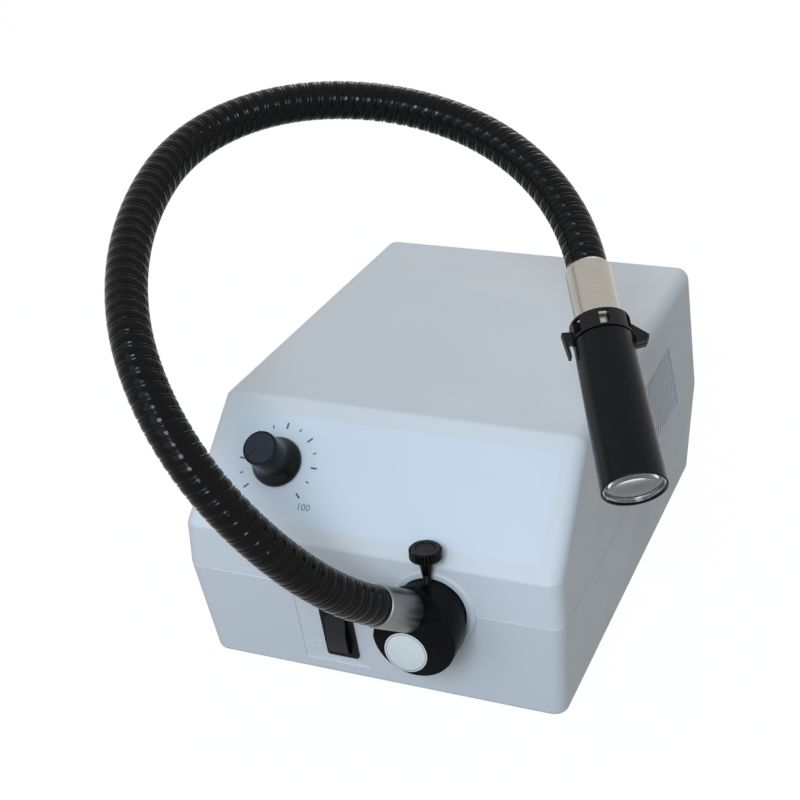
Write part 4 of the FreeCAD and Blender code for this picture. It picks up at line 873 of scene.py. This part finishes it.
def addHead():
    radius = tipFerrule["radius"]
    sleeve = turnedShape([(0, 0), (radius, 0), (radius, tipFerrule["length"]), (0, tipFerrule["length"])])
    soften(sleeve, tipFerrule["round"], tipFerrule["roundSteps"], latheSharp,
           lambda edge: edge.verts[0].co.z < tipFerrule["round"])
    addPiece(sleeve, "tip_sleeve", tipSteel, "neck_6", tipPlace, ("tip_ferrule",),
             sharp=latheSharp)
    addCopy("head_barrel", "head_tube", headBlack, "focus_head", headEdge["barrel"],
            sharper=headEdge["barrelSharper"])
    addCopy("clamp_ring", "clamp_band", clampBlack, "focus_head", headEdge["clamp"])
    addCopy("lens_ring", "front_ring", ringSteel, "focus_head", headEdge["ring"])
    addLens("lens_back", "rear_lens", rearLens)
    addLens("lens_front", "front_lens", frontLens)


addHead()
print("head made")


inletEdge = {"housing": 0.3, "tray": 0.25}
addCopy("inlet_body", "inlet_housing", switchBlack, "case", inletEdge["housing"])
addCopy("fuse_drawer", "fuse_tray", rockerBlack, "fuse_carrier", inletEdge["tray"])
for node, finish in (
        ("inlet_pins", pinNickel), ("inlet_screws", zincSteel), ("case_screws", zincSteel), ("fuse", glass),
        ("dimmer_pot", zincSteel), ("pot_shaft", castAluminium), ("pot_nut", nutBrass),
        ("driver_board", boardGreen), ("switch_terminals", pinNickel), ("lens_barrel", barrelAnodised),
        ("condenser_lens", glass), ("led_board", castAluminium), ("led_emitter", emitterDome),
        ("heat_sink", castAluminium), ("fan_frame", fanPlastic), ("fan_rotor", fanPlastic),
        ("fan_screws", zincSteel), ("power_board", boardGreen), ("board_screws", zincSteel),
        ("transformer_core", coreFerrite), ("transformer_winding", copper), ("capacitors", canSleeve),
        ("guide_sleeve", tipSteel), ("bundle_input", fibreEnd), ("bundle_output", fibreEnd),
        ("lens_spacer", turnedAluminium),
        ("mains_wires", wireSleeve("brownSleeve", tone(92, 58, 38))),
        ("switch_wires", wireSleeve("blackSleeve", tone(34, 34, 37))),
        ("led_wires", wireSleeve("redSleeve", tone(150, 38, 34))),
        ("fan_wires", wireSleeve("yellowSleeve", tone(196, 166, 52))),
        ("dimmer_wires", wireSleeve("greySleeve", tone(128, 130, 134)))):
    dress(node, finish)
print("inside dressed")


# the floor shows as white paper to the camera, to mirrors and through glass, and keeps the shadow
floor = {"size": 40000, "paper": 0.25, "rough": 0.9, "share": 0.86, "glow": 1.13}
# soft lights the object, and white is what the camera sees round it
world = {"soft": (0.92, 0.97, 0.98, 1), "strength": 0.44, "white": (1, 1, 1, 1), "whiteStrength": 1.0}
lamps = [
    {"name": "key", "from": (300, -1650, 1150), "size": 550, "watts": 25.0, "colour": (0.72, 0.84, 0.98)},
    {"name": "fill", "from": (-450, -1600, 1000), "size": 1200, "watts": 7.0, "colour": (0.8, 0.9, 1.0)},
    {"name": "back", "from": (-300, 1500, 1100), "size": 700, "watts": 4.0, "colour": (1.0, 0.93, 0.88)},
]
lampAim = Vector((0, -60, 60))


def showsBackdrop(tree):
    # true for rays that come from the camera, a mirror-like surface or glass
    path = tree.nodes.new("ShaderNodeLightPath")
    total = path.outputs["Is Camera Ray"]
    for name in ("Is Glossy Ray", "Is Transmission Ray"):
        larger = tree.nodes.new("ShaderNodeMath")
        larger.operation = "MAXIMUM"
        tree.links.new(total, larger.inputs[0])
        tree.links.new(path.outputs[name], larger.inputs[1])
        total = larger.outputs[0]
    return total


def blended(tree, share, first, second, output):
    blend = tree.nodes.new("ShaderNodeMixShader")
    for source, socket in zip((share, first.outputs[0], second.outputs[0]), blend.inputs):
        tree.links.new(source, socket)
    tree.links.new(blend.outputs[0], tree.nodes[output].inputs["Surface"])


def addFloor():
    shape = bmesh.new()
    bmesh.ops.create_grid(shape, x_segments=1, y_segments=1, size=floor["size"])
    finish = bpy.data.materials.new("floorPaper")
    finish.use_nodes = True
    tree = finish.node_tree
    paper = tree.nodes["Principled BSDF"]
    paper.inputs["Base Color"].default_value = (floor["paper"],) * 3 + (1,)
    paper.inputs["Roughness"].default_value = floor["rough"]
    paper.inputs["Specular IOR Level"].default_value = 0.0
    glow = tree.nodes.new("ShaderNodeEmission")
    glow.inputs["Strength"].default_value = floor["glow"]
    share = tree.nodes.new("ShaderNodeMath")
    share.operation = "MULTIPLY"
    share.inputs[1].default_value = floor["share"]
    tree.links.new(showsBackdrop(tree), share.inputs[0])
    blended(tree, share.outputs[0], paper, glow, "Material Output")
    ground = Matrix.Translation((0, 0, -foot["height"]))
    addPiece(shape, "floor", finish, None, ground, sharp=0)


def lightWorld():
    studio = bpy.data.worlds.new("studio")
    scene.world = studio
    studio.use_nodes = True
    tree = studio.node_tree
    soft = tree.nodes["Background"]
    soft.inputs["Color"].default_value = world["soft"]
    soft.inputs["Strength"].default_value = world["strength"]
    white = tree.nodes.new("ShaderNodeBackground")
    white.inputs["Color"].default_value = world["white"]
    white.inputs["Strength"].default_value = world["whiteStrength"]
    blended(tree, showsBackdrop(tree), soft, white, "World Output")


def addLamp(lamp):
    light = bpy.data.lights.new(lamp["name"], "AREA")
    light.shape = "SQUARE"
    light.size = lamp["size"] * millimetre
    light.energy = lamp["watts"]
    light.color = lamp["colour"]
    holder = bpy.data.objects.new(lamp["name"], light)
    holder.location = Vector(lamp["from"]) * millimetre
    holder.rotation_mode = "QUATERNION"
    holder.rotation_quaternion = (Vector(lamp["from"]) - lampAim).to_track_quat("Z", "Y")
    scene.collection.objects.link(holder)


addFloor()
lightWorld()
for lamp in lamps:
    addLamp(lamp)
scene.view_settings.view_transform = "Standard"
print("stage lit")
